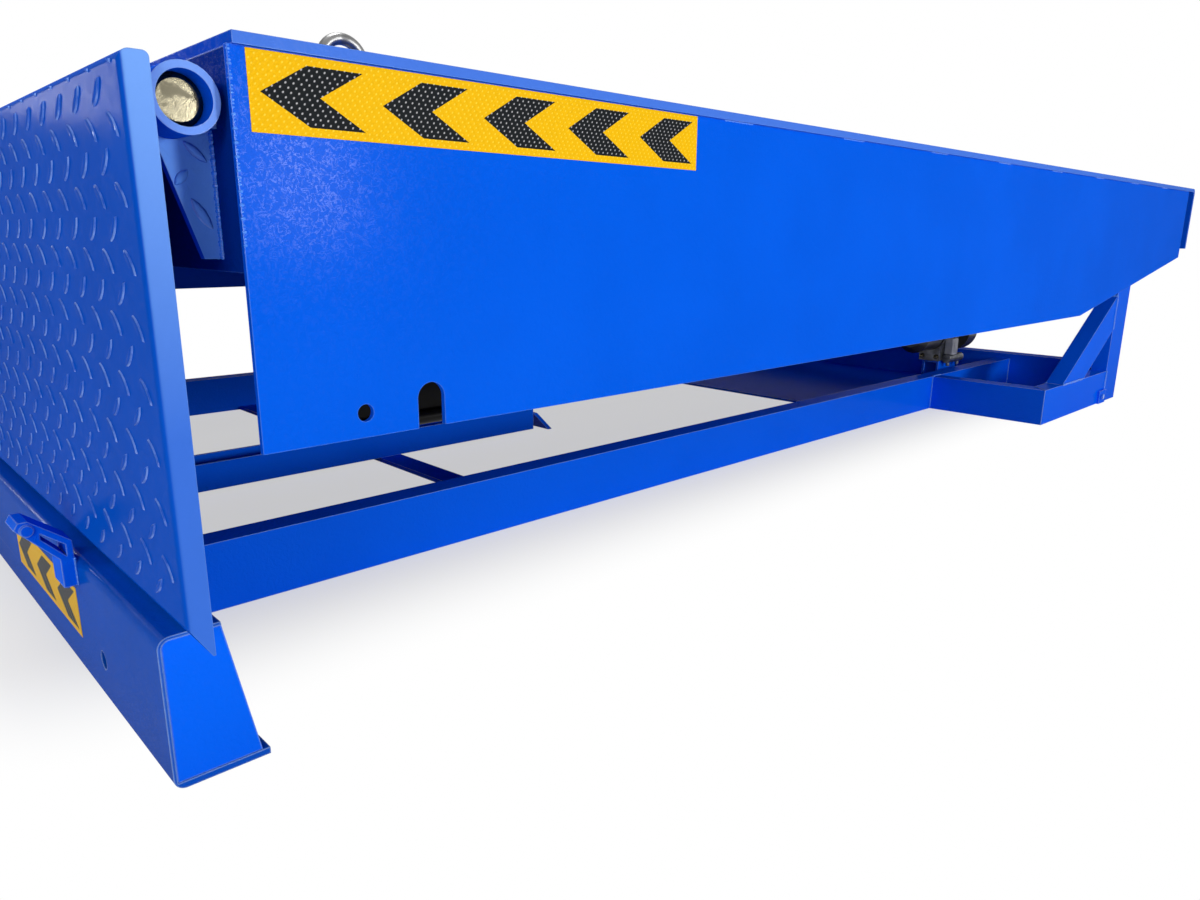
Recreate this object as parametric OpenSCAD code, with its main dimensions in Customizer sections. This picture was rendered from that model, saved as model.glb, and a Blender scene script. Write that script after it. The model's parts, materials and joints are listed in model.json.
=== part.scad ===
// Hydraulic dock leveler: a welded floor frame, a ramp deck hinged at its rear,
// and a lip plate hung on a piano hinge at the deck's front edge.
// Lengths are in millimetres. +X is the right side seen from the front, +Y runs to the rear, +Z is up.
// Inside the modules y is counted from the deck's front edge.

/* [Deck] */
// Width of the deck over both side skirts
deck_w = 2000; // [1600:10:2400]
// Length of the deck from its front edge to the rear apron
deck_len = 2500; // [2300:10:3000]
// Height of the deck's top above the floor
deck_h = 567; // [540:1:680]
// Thickness of the deck plate
deck_t = 8; // [5:1:12]
// Thickness of the front header plate
header_t = 10; // [6:1:16]
// Depth of the front header below the deck plate
header_h = 148; // [110:2:200]
// Depth of the rear apron below the deck plate
apron_h = 144; // [100:2:170]
// Thickness of the rear apron
apron_t = 8; // [5:1:12]
// Outer radius of the bend between the deck plate and the rear apron
apron_bend_r = 14; // [13:1:24]
// Number of channel stringers under the deck
stringer_n = 6; // [4:1:8]
// Height of a stringer
stringer_h = 130; // [80:5:140]
// Flange width of a stringer
stringer_b = 60; // [40:5:80]
// Wall of a stringer
stringer_t = 6; // [4:1:10]
// Clear margin between the outer stringers and the skirts
stringer_margin = 90; // [40:5:140]
// Thickness of the cross bar that closes the stringers at the rear
rear_bar_t = 10; // [6:1:16]
// Clear height between the rear cross bar and the hinge beam under it
rear_bar_clear = 29; // [20:1:50]

/* [Side skirts] */
// Thickness of a side skirt
skirt_t = 5; // [3:1:10]
// How far a skirt lies inside the deck plate's edge
skirt_inset = 3; // [0:0.5:8]
// Height of the skirt's lower edge above the floor
skirt_bottom = 281; // [240:1:320]
// How far the skirt stands ahead of the deck's front edge
skirt_lead = 3; // [0:1:10]
// Gap between the skirt's rear edge and the end of the deck
skirt_rear_gap = 45; // [30:1:90]
// Length of the rising stretch of the lower edge
skirt_rise_len = 711; // [400:1:900]
// Height that the lower edge rises by
skirt_rise = 112; // [60:1:140]
// Diameter of the tie hole near the front corner
tie_hole_d = 14; // [8:1:20]
// Distance of the tie hole from the deck's front edge
tie_hole_y = 81; // [40:1:100]
// Height of the tie hole above the lower edge
tie_hole_up = 20; // [14:1:40]
// Width of the strap slot
strap_slot_w = 26; // [16:1:36]
// Height of the strap slot
strap_slot_h = 38; // [26:1:60]
// Distance of the strap slot's middle from the deck's front edge
strap_slot_y = 142; // [130:1:200]

/* [Side guards] */
// Thickness of a guard behind a side skirt
guard_t = 5; // [3:0.5:8]
// Height of a guard's rolled lower edge above the floor
guard_bottom = 262; // [258:1:270]
// Distance of a guard's front end from the deck's front edge
guard_y = 60; // [40:1:60]
// Length of a guard
guard_len = 200; // [180:10:1600]
// Diameter of the roll along a guard's lower edge
guard_roll_d = 14; // [12:1:20]

/* [Lip hinge] */
// Outside diameter of a hinge knuckle
knuckle_od = 46; // [44:1:52]
// Wall of a hinge knuckle
knuckle_wall = 5; // [4:0.5:7]
// Number of knuckles along the hinge, odd so that the deck holds both ends
knuckle_n = 9; // [5:2:13]
// Gap between neighbouring knuckles
knuckle_gap = 6; // [3:1:12]
// Distance of the end knuckles from the deck's sides
knuckle_inset = 15; // [5:1:40]
// Gap between a lip knuckle and the header
knuckle_header_gap = 5; // [5:1:8]
// Height of the foot that welds a knuckle to its plate
knuckle_foot_h = 30; // [20:1:40]
// Distance of the foot's ends from the ends of its knuckle
knuckle_foot_inset = 25; // [10:1:35]
// Depth of the hinge axis below the deck's top
hinge_drop = 43; // [40:1:50]
// Radial clearance of the hinge pin
pin_clear = 0.1; // [0.05:0.01:0.1]
// How far the pin's ends lie inside the end knuckles
pin_recess = 14; // [4:1:30]
// Chamfer at the ends of the pin
pin_chamfer = 4; // [1:0.5:5]
// Thickness of a gusset under a deck knuckle
gusset_t = 8; // [5:1:12]
// Reach of a gusset ahead of the header
gusset_reach = 36; // [26:1:40]
// Width of a gusset at its foot
gusset_foot = 13; // [8:1:20]
// Height of a gusset's foot above the header's lower edge
gusset_foot_up = 9; // [2:1:20]
// Distance of a gusset from the end of its knuckle
gusset_inset = 40; // [20:1:60]

/* [Lip] */
// Thickness of the lip plate
lip_t = 18; // [13:1:20]
// Gap between the lip's back and the deck knuckles
lip_back_gap = 1; // [0.5:0.5:3]
// Gap between the lip's heel and the deck edge when the lip is out
lip_heel_gap = 5; // [5:1:10]
// Radius of the rounded heel
lip_heel_r = 7; // [3:1:8]
// Radius of the lip's rounded upper back edge
lip_back_r = 4; // [1:0.5:4]
// Radius of the lip's two upright front edges
lip_side_r = 5; // [2:0.5:8]
// Gap between the hanging lip's tip and the front beam
lip_tip_gap = 5; // [5:1:12]
// Height of the bevel at the tip
lip_bevel_h = 27; // [15:1:50]
// Thickness left at the tip
lip_tip_t = 2; // [1:0.5:8]

/* [Front beam] */
// Height of the front beam
beam_h = 134; // [120:1:160]
// Depth of the beam's top
beam_top = 49; // [40:1:60]
// Depth of the beam at the floor
beam_foot = 74; // [60:1:100]
// Plate thickness of the beam
beam_t = 6; // [4:1:8]
// Outer radius of the beam's bends
beam_bend_r = 10; // [9:1:16]
// How far the beam's front stands ahead of the hanging lip
beam_lead = 4; // [0:1:10]
// Distance of the beam's ends from the deck's sides
beam_inset = 66; // [40:1:100]
// How far the beam's bottom flange reaches behind its back
beam_flange = 5; // [4:1:15]
// How far an end plate lies inside the beam's end
beam_end_recess = 1; // [0:0.5:10]
// Width of the beam's edge that stays in view around an end plate
beam_end_border = 3; // [1:0.5:4]
// Clearance between an end plate and the beam
beam_end_clear = 0.2; // [0.1:0.05:0.5]
// Diameter of an anchor hole in the beam's front
anchor_hole_d = 18; // [12:1:24]
// Distance of an anchor hole from the beam's end
anchor_inset = 178; // [120:1:220]
// Height of an anchor hole above the floor
anchor_hole_z = 48; // [30:1:80]

/* [Lip keepers] */
// Distance of a keeper's outer side from the beam's end
keeper_inset = 236; // [200:1:500]
// Width of a keeper's strap
keeper_w = 36; // [24:1:60]
// Thickness of a keeper's strap
keeper_t = 6; // [4:0.5:7]
// Depth of the welded legs below the beam's top
keeper_leg = 28; // [22:1:60]
// Height of the inner strap's elbow above the beam's top
keeper_inner_up = 18; // [14:1:22]
// Height of the outer strap's elbow above the beam's top
keeper_outer_up = 1; // [0:0.5:3]
// Reach of the nose ahead of the beam
keeper_reach = 45; // [40:1:50]
// Height of the nose's top above the beam's top
keeper_rise = 44; // [40:1:50]
// Length of the solid nose where both straps meet
keeper_nose = 20; // [17:1:24]
// Length of the nose's flat top
keeper_flat = 8; // [4:1:10]
// Height of the nose's slanted end
keeper_end_h = 6.5; // [5:0.5:8]
// Lead of the slanted end's lower edge
keeper_end_lead = 4; // [2:0.5:6]
// Diameter of the weld boss on the nose
keeper_boss_d = 11; // [7:0.5:12]
// Height of the weld boss on the nose
keeper_boss_h = 3; // [1:0.5:6]

/* [Floor frame] */
// Width of the frame's rectangular tubes
tube_w = 40; // [30:1:50]
// Height of the frame's rectangular tubes
tube_h = 85; // [70:1:100]
// Wall of the frame's rectangular tubes
tube_t = 4; // [3:0.5:6]
// Distance of a side rail's outer face from the deck's side
rail_inset = 390; // [340:1:430]
// Distance of an outrigger's outer face from the deck's side
outrigger_inset = 110; // [80:1:140]
// Length of an outrigger ahead of its post
outrigger_len = 456; // [420:2:600]
// Depth of a rear post
post_d = 100; // [100:1:110]
// Height of a rear post
post_h = 400; // [370:1:402]
// Gap between the rear posts and the end of the deck
post_rear_gap = 19; // [15:1:30]
// Depth of a brace across its slope
brace_d = 80; // [60:1:90]
// Slope of a brace
brace_slope = 31; // [27:1:33]
// Height of the window under a brace
brace_window_h = 111; // [90:1:114]
// Height of the rear cross beam on the floor
cross_h = 100; // [80:1:120]
// Depth of the rear cross beam on the floor
cross_d = 50; // [40:1:60]
// Height of the upper beam that carries the rear hinges
hinge_beam_h = 80; // [60:1:100]
// Length of a foot tab ahead of a post
tab_len = 50; // [40:1:80]
// Height of a foot tab
tab_h = 36; // [20:1:50]
// Thickness of a foot tab
tab_t = 6; // [4:1:12]

/* [Rear hinges] */
// Diameter of a rear hinge pin
rear_pin_d = 30; // [24:1:34]
// Depth of the rear hinge axis below the deck's top
rear_hinge_drop = 46; // [45:1:54]
// Thickness of an ear on the frame
ear_t = 10; // [8:1:10]
// Radius of an ear around its pin
ear_r = 31; // [26:1:31]
// Thickness of a lug on the deck
lug_t = 14; // [10:1:14]
// Radius of a lug around its pin
lug_r = 29; // [25:1:30]
// Side clearance between a lug and its ears
lug_clear = 2; // [1:0.5:2]

/* [Maintenance prop] */
// Distance of the prop's middle from the middle of the frame
prop_x = 92; // [-300:1:300]
// Width of the prop's channel
prop_w = 74; // [60:1:90]
// Height of the prop's channel
prop_h = 48; // [40:1:60]
// Wall of the prop's channel
prop_t = 5; // [3:0.5:8]
// Distance of the prop's rear end from the deck's front edge
prop_end_y = 965; // [800:1:1200]
// Distance of the prop's pivot from the deck's front edge
prop_pivot_y = 44; // [36:1:60]
// Distance from the prop's pivot to its front end
prop_nose = 24; // [18:1:26]
// Diameter of the prop's pivot pin
prop_pin_d = 20; // [14:1:24]
// Thickness of a pivot lug
prop_lug_t = 8; // [6:1:12]
// Side gap between the prop and its pivot lugs
prop_lug_gap = 1; // [0.5:0.5:3]
// Thickness of the slanted foot plate at the prop's end
prop_foot_t = 8; // [5:1:12]
// Length of the slanted foot plate
prop_foot_len = 62; // [50:1:70]
// Width of the bar that the prop rests on
rest_bar_w = 46; // [30:1:80]
// Thickness of the bar that the prop rests on
rest_bar_t = 8; // [5:1:12]
// Distance of the rest bar's front from the deck's front edge
rest_bar_y = 574; // [300:1:750]

/* [Power pack] */
// Length of the floor plate ahead of the rear cross beam
tray_len = 711; // [600:1:900]
// Thickness of the floor plate
tray_t = 6; // [4:1:10]
// Distance of the pack's axis from the side rail
pack_inset = 42; // [35:1:300]
// Gap between the valve block and the rear cross beam
block_gap = 241; // [120:1:320]
// Width of the valve block
block_w = 50; // [50:1:120]
// Length of the valve block
block_l = 110; // [96:1:130]
// Height of the valve block
block_h = 94; // [84:1:120]
// Height of the valve block's underside above the floor
block_z = 105; // [80:1:130]
// Chamfer of the valve block's upper edges
block_chamfer = 8; // [4:1:12]
// Thickness of the motor flange on the valve block
flange_t = 12; // [8:1:16]
// How far the motor flange stands out beside the block
flange_lip = 4; // [4:1:14]
// Diameter of the valve barrel beside the block
barrel_d = 24; // [18:1:28]
// Length of the valve barrel
barrel_l = 86; // [70:1:90]
// How far the valve barrel reaches below the block
barrel_drop = 6; // [6:1:14]
// Diameter of a port plug under the valve barrel
plug_d = 10; // [6:1:14]
// Height of a port plug
plug_h = 9; // [5:1:14]
// Distance of a port plug from the end of the barrel
plug_inset = 14; // [10:1:20]
// Height of the motor's and the tank's axis above the block's underside
pack_axis_up = 75; // [60:1:80]
// Diameter of the pump motor
motor_d = 90; // [80:1:120]
// Length of the pump motor
motor_l = 120; // [100:1:200]
// Width of a collar round the motor's ends
motor_collar_w = 10; // [6:1:16]
// Height of a collar round the motor's ends
motor_collar_h = 3; // [1:0.5:5]
// Length of the motor's tapered end bell
motor_bell = 16; // [8:1:30]
// Diameter of the oil tank
tank_d = 110; // [90:1:120]
// Length of the oil tank
tank_l = 60; // [56:1:200]
// Radius of the oil tank's rounded end
tank_round = 12; // [10:1:42]
// Width of the folded bracket under the valve block
bracket_w = 46; // [40:1:60]
// Wall of the folded bracket under the valve block
bracket_t = 6; // [4:1:8]
// Width of the solenoid coil
coil_w = 26; // [24:1:44]
// Length of the solenoid coil along the barrel
coil_l = 28; // [24:1:34]
// Height of the solenoid coil
coil_h = 44; // [30:1:60]
// How far the solenoid coil stands ahead of the barrel's middle
coil_lead = 18; // [0:1:18]
// Radius of the solenoid coil's upright edges
coil_r = 5; // [2:0.5:8]

/* [Lifting eyes] */
// Distance of a lifting eye from the deck's side
eye_inset = 200; // [100:1:400]
// Distance of a lifting eye from the deck's front edge
eye_y = 185; // [120:1:400]
// Outside diameter of the eye's ring
eye_od = 54; // [50:1:80]
// Thickness of the ring's bar
eye_bar = 11; // [8:1:14]
// Height of the collar under the ring
eye_collar_h = 4; // [4:1:12]
// Diameter of the collar under the ring
eye_collar_d = 36; // [30:1:44]

/* [Hidden] */
$fn = 48;
PAINT_BLUE = [0.03, 0.30, 0.82];
PAINT_DARK = [0.02, 0.20, 0.58];
STEEL = [0.66, 0.66, 0.62];
CAST_GREY = [0.48, 0.49, 0.50];
MOTOR_BLACK = [0.08, 0.08, 0.09];

side_x = deck_w / 2;
deck_under = deck_h - deck_t;
inner_x = side_x - skirt_inset - skirt_t;

hinge_y = -(knuckle_od / 2 + knuckle_header_gap);
hinge_z = deck_h - hinge_drop;
pin_bore_r = knuckle_od / 2 - knuckle_wall;
lip_back = hinge_y - knuckle_od / 2 - lip_back_gap;
lip_front = lip_back - lip_t;
lip_top = hinge_z - hinge_y - lip_heel_gap;
lip_tip = beam_h + lip_tip_gap;
hinge_half = side_x - knuckle_inset;
knuckle_pitch = (2 * hinge_half + knuckle_gap) / knuckle_n;
knuckle_len = knuckle_pitch - knuckle_gap;

beam_front = lip_front - beam_lead;
beam_half = side_x - beam_inset;
beam_rear_top = beam_front + beam_top;
beam_rear_foot = beam_front + beam_foot;

keeper_front = beam_front - keeper_reach;
keeper_x = beam_half - keeper_inset;
keeper_flat_y = keeper_end_lead + keeper_flat - keeper_reach;
keeper_gap_y = keeper_nose - keeper_reach;
keeper_upper_slope = (keeper_inner_up - keeper_rise) / keeper_flat_y;
keeper_lower_slope = (keeper_rise - keeper_end_h - keeper_outer_up) / (keeper_reach - 2 * keeper_t);

rail_x = side_x - rail_inset;
outrigger_x = side_x - outrigger_inset;
post_rear = deck_len - post_rear_gap;
post_front = post_rear - post_d;
outrigger_y = post_front - outrigger_len;
post_inner_x = outrigger_x - tube_w;
rail_inner_x = rail_x - tube_w;
cross_front = post_rear - cross_d;
brace_low_z = tube_h + brace_window_h;

rear_hinge_y = post_rear - post_d / 2;
rear_hinge_z = deck_h - rear_hinge_drop;
rear_bar_y = rear_hinge_y - lug_r * 2;
rear_bar_z = post_h + rear_bar_clear;
station_x = outrigger_x - tube_w / 2;
stations = [-station_x, -station_x / 3, station_x / 3, station_x];
ear_gap = lug_t + 2 * lug_clear;

prop_pivot_z = rest_bar_t + prop_h / 2;
stringer_span = 2 * (inner_x - stringer_margin) - stringer_b;
tray_y = cross_front - tray_len;
pack_x = rail_inner_x - pack_inset;
pack_z = block_z + pack_axis_up;
block_y = cross_front - block_gap - block_l;
block_mid_y = block_y + block_l / 2;
barrel_x = block_w / 2 + coil_w / 2;
barrel_z = block_z - barrel_drop + barrel_d / 2;

// The model's y = 0 is the middle of its whole length, from the keepers to the rear apron
origin_y = (keeper_front + deck_len) / 2;

// Moves shapes counted from the deck's front edge into the model's frame
module from_deck_edge() { translate([0, -origin_y, 0]) children(); }

// Extrudes a side outline, drawn as (y, z), from x0 to x1
module across(x0, x1) {
    translate([x0, 0, 0]) rotate([90, 0, 90]) linear_extrude(x1 - x0) children();
}

// Extrudes a front outline, drawn as (x, z), from y0 to y1
module along(y0, y1) {
    translate([0, y1, 0]) rotate([90, 0, 0]) linear_extrude(y1 - y0) children();
}

// Puts a right-hand piece on the chosen side: 1 is right, -1 is left
module on_side(side) {
    if (side > 0) children();
    else mirror([1, 0, 0]) children();
}

// A rectangle from its low corner to its high corner
module span(u0, v0, u1, v1) { translate([u0, v0]) square([u1 - u0, v1 - v0]); }

// A round bar along x, from x0 to x1
module bar_x(d, x0, x1, y, z) {
    translate([x0, y, z]) rotate([0, 90, 0]) cylinder(d = d, h = x1 - x0);
}

// Outline of the front beam, thinned by the inset: upright front, flat top, sloping back
module beam_outline(inset) {
    slope = (beam_foot - beam_top) / beam_h;
    back_foot = beam_rear_foot - inset * sqrt(1 + slope * slope);
    r = beam_bend_r - inset;
    top = beam_h - inset;
    front = beam_front + inset;
    difference() {
        polygon([
            [front, inset],
            [back_foot - slope * inset, inset],
            [back_foot - slope * top, top],
            [front, top]
        ]);
        difference() {
            span(front - 1, inset - 1, front + r, top + 1);
            span(front - 1, inset + r, front + r, top - r);
            for (z = [inset + r, top - r]) translate([front + r, z]) circle(r);
        }
    }
}

// The beam's outline with its bottom flange, which goes under the floor where other pieces are cut to it
module beam_section(under) {
    beam_outline(0);
    span(beam_front + beam_bend_r, -under, beam_rear_foot + beam_flange, beam_t);
}

// Outline of an end plate, which stands on the flange and reaches to the beam's sloping back
module beam_end_outline(clear, over) {
    slope = (beam_foot - beam_top) / beam_h;
    front = beam_front + beam_end_border + clear;
    top = beam_h - beam_end_border - clear;
    low = beam_t + clear;
    r = beam_bend_r - beam_end_border - clear;
    polygon([
        [front, low],
        [beam_rear_foot - slope * low + over, low],
        [beam_rear_foot - slope * top + over, top],
        [front + r, top],
        [front + r, top - r],
        [front, top - r]
    ]);
    translate([front + r, top - r]) circle(r);
}

module front_beam() {
    color(PAINT_DARK) from_deck_edge() difference() {
        across(-beam_half, beam_half) difference() {
            beam_section(0);
            beam_outline(beam_t);
        }
        for (side = [-1, 1]) on_side(side)
            across(beam_half - beam_end_recess - beam_t - beam_end_clear, beam_half + 1) beam_end_outline(0, 1);
        for (side = [-1, 1])
            translate([side * (beam_half - anchor_inset), beam_front - 1, anchor_hole_z])
                rotate([-90, 0, 0]) cylinder(d = anchor_hole_d, h = beam_t + 2);
    }
}

// An end plate let into the beam's end, a little behind its edge
module front_beam_end(side) {
    outer_x = beam_half - beam_end_recess;
    color(PAINT_DARK) from_deck_edge() on_side(side)
        across(outer_x - beam_t, outer_x) beam_end_outline(beam_end_clear, 0);
}

// Height of the inner strap's underside, and of the outer strap's upper side, at y ahead of the beam
function keeper_upper(y) =
    keeper_inner_up - y * keeper_upper_slope - keeper_t * sqrt(1 + pow(keeper_upper_slope, 2));
function keeper_lower(y) =
    keeper_outer_up - (y + 2 * keeper_t) * keeper_lower_slope + keeper_t * sqrt(1 + pow(keeper_lower_slope, 2));

// Side outline of a keeper: two straps with legs on the beam that meet in a solid nose
module keeper_outline() {
    difference() {
        polygon([
            [0, -keeper_leg],
            [0, keeper_inner_up],
            [keeper_flat_y, keeper_rise],
            [keeper_end_lead - keeper_reach, keeper_rise],
            [-keeper_reach, keeper_rise - keeper_end_h],
            [-2 * keeper_t, keeper_outer_up],
            [-2 * keeper_t, -keeper_leg]
        ]);
        polygon([
            [-keeper_t, keeper_lower(-keeper_t)],
            [-keeper_t, keeper_upper(-keeper_t)],
            [keeper_gap_y, keeper_upper(keeper_gap_y)],
            [keeper_gap_y, keeper_lower(keeper_gap_y)]
        ]);
    }
}

// A lip keeper: a hook of bent strap with a weld boss on the outer side of its nose
module lip_keeper(side) {
    boss_y = keeper_gap_y - keeper_nose / 2;
    boss_z = keeper_rise - keeper_end_h - keeper_end_lead / 2;
    color(PAINT_DARK) from_deck_edge() on_side(side) translate([0, beam_front, beam_h]) {
        across(keeper_x - keeper_w, keeper_x) keeper_outline();
        bar_x(keeper_boss_d, keeper_x - keeper_t, keeper_x + keeper_boss_h, boss_y, boss_z);
    }
}

// A rectangular tube with its bore along y
module tube_y(w, h, wall, y0, y1) {
    along(y0, y1) difference() {
        span(0, 0, w, h);
        span(wall, wall, w - wall, h - wall);
    }
}

// A rectangular tube with its bore along x
module tube_x(d, h, wall, x0, x1) {
    across(x0, x1) difference() {
        span(0, 0, d, h);
        span(wall, wall, d - wall, h - wall);
    }
}

// A side rail, cut at its front to the slope of the front beam's back
module side_rail(side) {
    color(PAINT_BLUE) from_deck_edge() on_side(side) difference() {
        translate([rail_inner_x, 0, 0]) tube_y(tube_w, tube_h, tube_t, beam_rear_top, cross_front);
        across(rail_inner_x - 1, rail_x + 1) beam_section(1);
    }
}

// The half of the outrigger's outer corner that a mitred tube leaves to the other tube
module mitre_wedge(behind) {
    near = [outrigger_x + 1, outrigger_y - 1];
    far = [post_inner_x - 1, outrigger_y + tube_w + 1];
    third = behind ? [near[0], far[1]] : [far[0], near[1]];
    translate([0, 0, -1]) linear_extrude(tube_h + 2) polygon([near, far, third]);
}

module outrigger_front(side) {
    color(PAINT_BLUE) from_deck_edge() on_side(side) difference() {
        translate([0, outrigger_y, 0]) tube_x(tube_w, tube_h, tube_t, rail_x, outrigger_x);
        mitre_wedge(true);
    }
}

module outrigger_side(side) {
    color(PAINT_BLUE) from_deck_edge() on_side(side) difference() {
        translate([post_inner_x, 0, 0]) tube_y(tube_w, tube_h, tube_t, outrigger_y, post_front);
        mitre_wedge(false);
    }
}

module rear_post(side) {
    color(PAINT_BLUE) from_deck_edge() on_side(side)
        translate([post_inner_x, post_front, 0]) linear_extrude(post_h) difference() {
            square([tube_w, post_d]);
            translate([tube_t, tube_t]) square([tube_w - 2 * tube_t, post_d - 2 * tube_t]);
        }
}

// Side outline of a brace between the outrigger's top and the post, thinned by the inset
module brace_outline(inset, over) {
    low = inset / cos(brace_slope);
    rise = brace_d / cos(brace_slope);
    run_low = (brace_low_z + low - tube_h + over) / tan(brace_slope);
    run_high = (brace_low_z + rise - low - tube_h + over) / tan(brace_slope);
    lift = over * tan(brace_slope);
    polygon([
        [post_front - run_high, tube_h - over],
        [post_front - run_low, tube_h - over],
        [post_front + over, brace_low_z + low + lift],
        [post_front + over, brace_low_z + rise - low + lift]
    ]);
}

// A diagonal brace: a rectangular tube with mitred ends
module post_brace(side) {
    color(PAINT_BLUE) from_deck_edge() on_side(side) difference() {
        across(post_inner_x, outrigger_x) brace_outline(0, 0);
        across(post_inner_x + tube_t, outrigger_x - tube_t) brace_outline(tube_t, 1);
    }
}

module post_foot_tabs() {
    color(PAINT_BLUE) from_deck_edge() for (side = [-1, 1]) on_side(side)
        translate([outrigger_x, post_front - tab_len, 0]) cube([tab_t, tab_len, tab_h]);
}

module rear_cross_beam() {
    color(PAINT_BLUE) from_deck_edge() translate([0, cross_front, 0])
        tube_x(cross_d, cross_h, tube_t, -post_inner_x, post_inner_x);
}

module rear_hinge_beam() {
    color(PAINT_BLUE) from_deck_edge() translate([0, post_front, post_h - hinge_beam_h])
        tube_x(post_d, hinge_beam_h, tube_t, -post_inner_x, post_inner_x);
}

// Side outline of a hinge ear: upright sides under a round head
module ear_outline() {
    difference() {
        union() {
            span(rear_hinge_y - ear_r, post_h, rear_hinge_y + ear_r, rear_hinge_z);
            translate([rear_hinge_y, rear_hinge_z]) circle(ear_r);
        }
        translate([rear_hinge_y, rear_hinge_z]) circle(rear_pin_d / 2 + pin_clear);
    }
}

module rear_hinge_ears() {
    color(PAINT_BLUE) from_deck_edge() for (x = stations) {
        across(x - ear_gap / 2 - ear_t, x - ear_gap / 2) ear_outline();
        across(x + ear_gap / 2, x + ear_gap / 2 + ear_t) ear_outline();
    }
}

module rear_hinge_pins() {
    half = ear_gap / 2 + ear_t;
    color(STEEL) from_deck_edge() for (x = stations)
        bar_x(rear_pin_d, x - half, x + half, rear_hinge_y, rear_hinge_z);
}

// The prop's channel lies open side up, on the rest bar and on its pivot pin
module maintenance_prop() {
    color(PAINT_BLUE) from_deck_edge() difference() {
        translate([prop_x, 0, rest_bar_t]) along(prop_pivot_y - prop_nose, prop_end_y) difference() {
            span(-prop_w / 2, 0, prop_w / 2, prop_h);
            span(-prop_w / 2 + prop_t, prop_t, prop_w / 2 - prop_t, prop_h + 1);
        }
        bar_x(prop_pin_d + 2 * pin_clear, prop_x - prop_w, prop_x + prop_w, prop_pivot_y, prop_pivot_z);
    }
}

// The slanted foot plate leans from the prop's end down to the floor
module prop_foot() {
    drop = prop_foot_len * sin(45);
    thick = prop_foot_t / sin(45);
    color(PAINT_BLUE) from_deck_edge()
        across(prop_x - prop_w / 2, prop_x + prop_w / 2) intersection() {
            polygon([
                [prop_end_y - drop, 2 * drop],
                [prop_end_y + drop, 0],
                [prop_end_y + drop + thick, 0],
                [prop_end_y - drop + thick, 2 * drop]
            ]);
            span(prop_end_y, 0, prop_end_y + 2 * drop, drop);
        }
}

// Side outline of a pivot lug, reaching from the front beam's back to round the pin
module prop_lug_outline() {
    difference() {
        union() {
            span(beam_rear_top, 0, prop_pivot_y, prop_pivot_z + prop_pin_d);
            translate([prop_pivot_y, prop_pivot_z]) circle(prop_pin_d);
            span(prop_pivot_y, 0, prop_pivot_y + prop_pin_d, prop_pivot_z);
        }
        beam_section(1);
        translate([prop_pivot_y, prop_pivot_z]) circle(prop_pin_d / 2 + pin_clear);
    }
}

module prop_pivot_lugs() {
    inner = prop_w / 2 + prop_lug_gap;
    color(PAINT_BLUE) from_deck_edge() for (side = [-1, 1])
        translate([prop_x, 0, 0]) on_side(side) across(inner, inner + prop_lug_t) prop_lug_outline();
}

module prop_pivot_pin() {
    half = prop_w / 2 + prop_lug_gap + prop_lug_t;
    color(STEEL) from_deck_edge()
        bar_x(prop_pin_d, prop_x - half, prop_x + half, prop_pivot_y, prop_pivot_z);
}

module prop_rest_bar() {
    color(PAINT_BLUE) from_deck_edge() translate([-rail_inner_x, rest_bar_y, 0])
        cube([2 * rail_inner_x, rest_bar_w, rest_bar_t]);
}

module pump_floor_plate() {
    color(PAINT_DARK) from_deck_edge() translate([-rail_inner_x, tray_y, 0])
        cube([2 * rail_inner_x, tray_len, tray_t]);
}

// A folded bracket: two upright sides under a flat seat
module pump_bracket() {
    half = bracket_w / 2;
    color(PAINT_DARK) from_deck_edge() translate([pack_x, 0, 0]) along(block_y, block_y + block_l)
        difference() {
            span(-half, tray_t, half, block_z);
            span(-half + bracket_t, tray_t - 1, half - bracket_t, block_z - bracket_t);
        }
}

// Front outline of the valve block, with its upper edges chamfered
module block_outline() {
    half = block_w / 2;
    polygon([
        [-half, 0],
        [half, 0],
        [half, block_h - block_chamfer],
        [half - block_chamfer, block_h],
        [-half + block_chamfer, block_h],
        [-half, block_h - block_chamfer]
    ]);
}

// The valve barrel lies beside the block on a narrow web, with a port plug under each end
module valve_barrel() {
    web_h = barrel_d / 3;
    barrel_y = block_mid_y - barrel_l / 2;
    translate([barrel_x, barrel_y, barrel_z]) {
        rotate([-90, 0, 0]) cylinder(d = barrel_d, h = barrel_l);
        translate([-coil_w / 2 - 1, 0, -web_h / 2]) cube([coil_w / 2 + 1, barrel_l, web_h]);
        for (y = [plug_inset, barrel_l - plug_inset])
            translate([0, y, -barrel_d / 2 - plug_h]) cylinder(d = plug_d, h = plug_h + barrel_d / 2);
    }
}

module pump_valve_block() {
    color(CAST_GREY) from_deck_edge() translate([pack_x, 0, 0]) {
        translate([0, 0, block_z]) {
            along(block_y, block_y + block_l) block_outline();
            along(block_y - flange_t, block_y)
                span(-block_w / 2 - flange_lip, 0, block_w / 2 + flange_lip, block_h);
        }
        valve_barrel();
    }
}

// The motor is a drum on a flange, with a collar at each end and a tapered end bell
module pump_motor() {
    r = motor_d / 2;
    drum_end = motor_l - motor_bell;
    color(MOTOR_BLACK) from_deck_edge() translate([pack_x, block_y - flange_t, pack_z]) rotate([90, 0, 0])
        rotate_extrude() polygon([
            [0, 0],
            [r, 0],
            [r, motor_collar_w],
            [r - motor_collar_h, motor_collar_w],
            [r - motor_collar_h, drum_end - motor_collar_w],
            [r, drum_end - motor_collar_w],
            [r, drum_end],
            [r - motor_bell, motor_l],
            [0, motor_l]
        ]);
}

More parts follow.
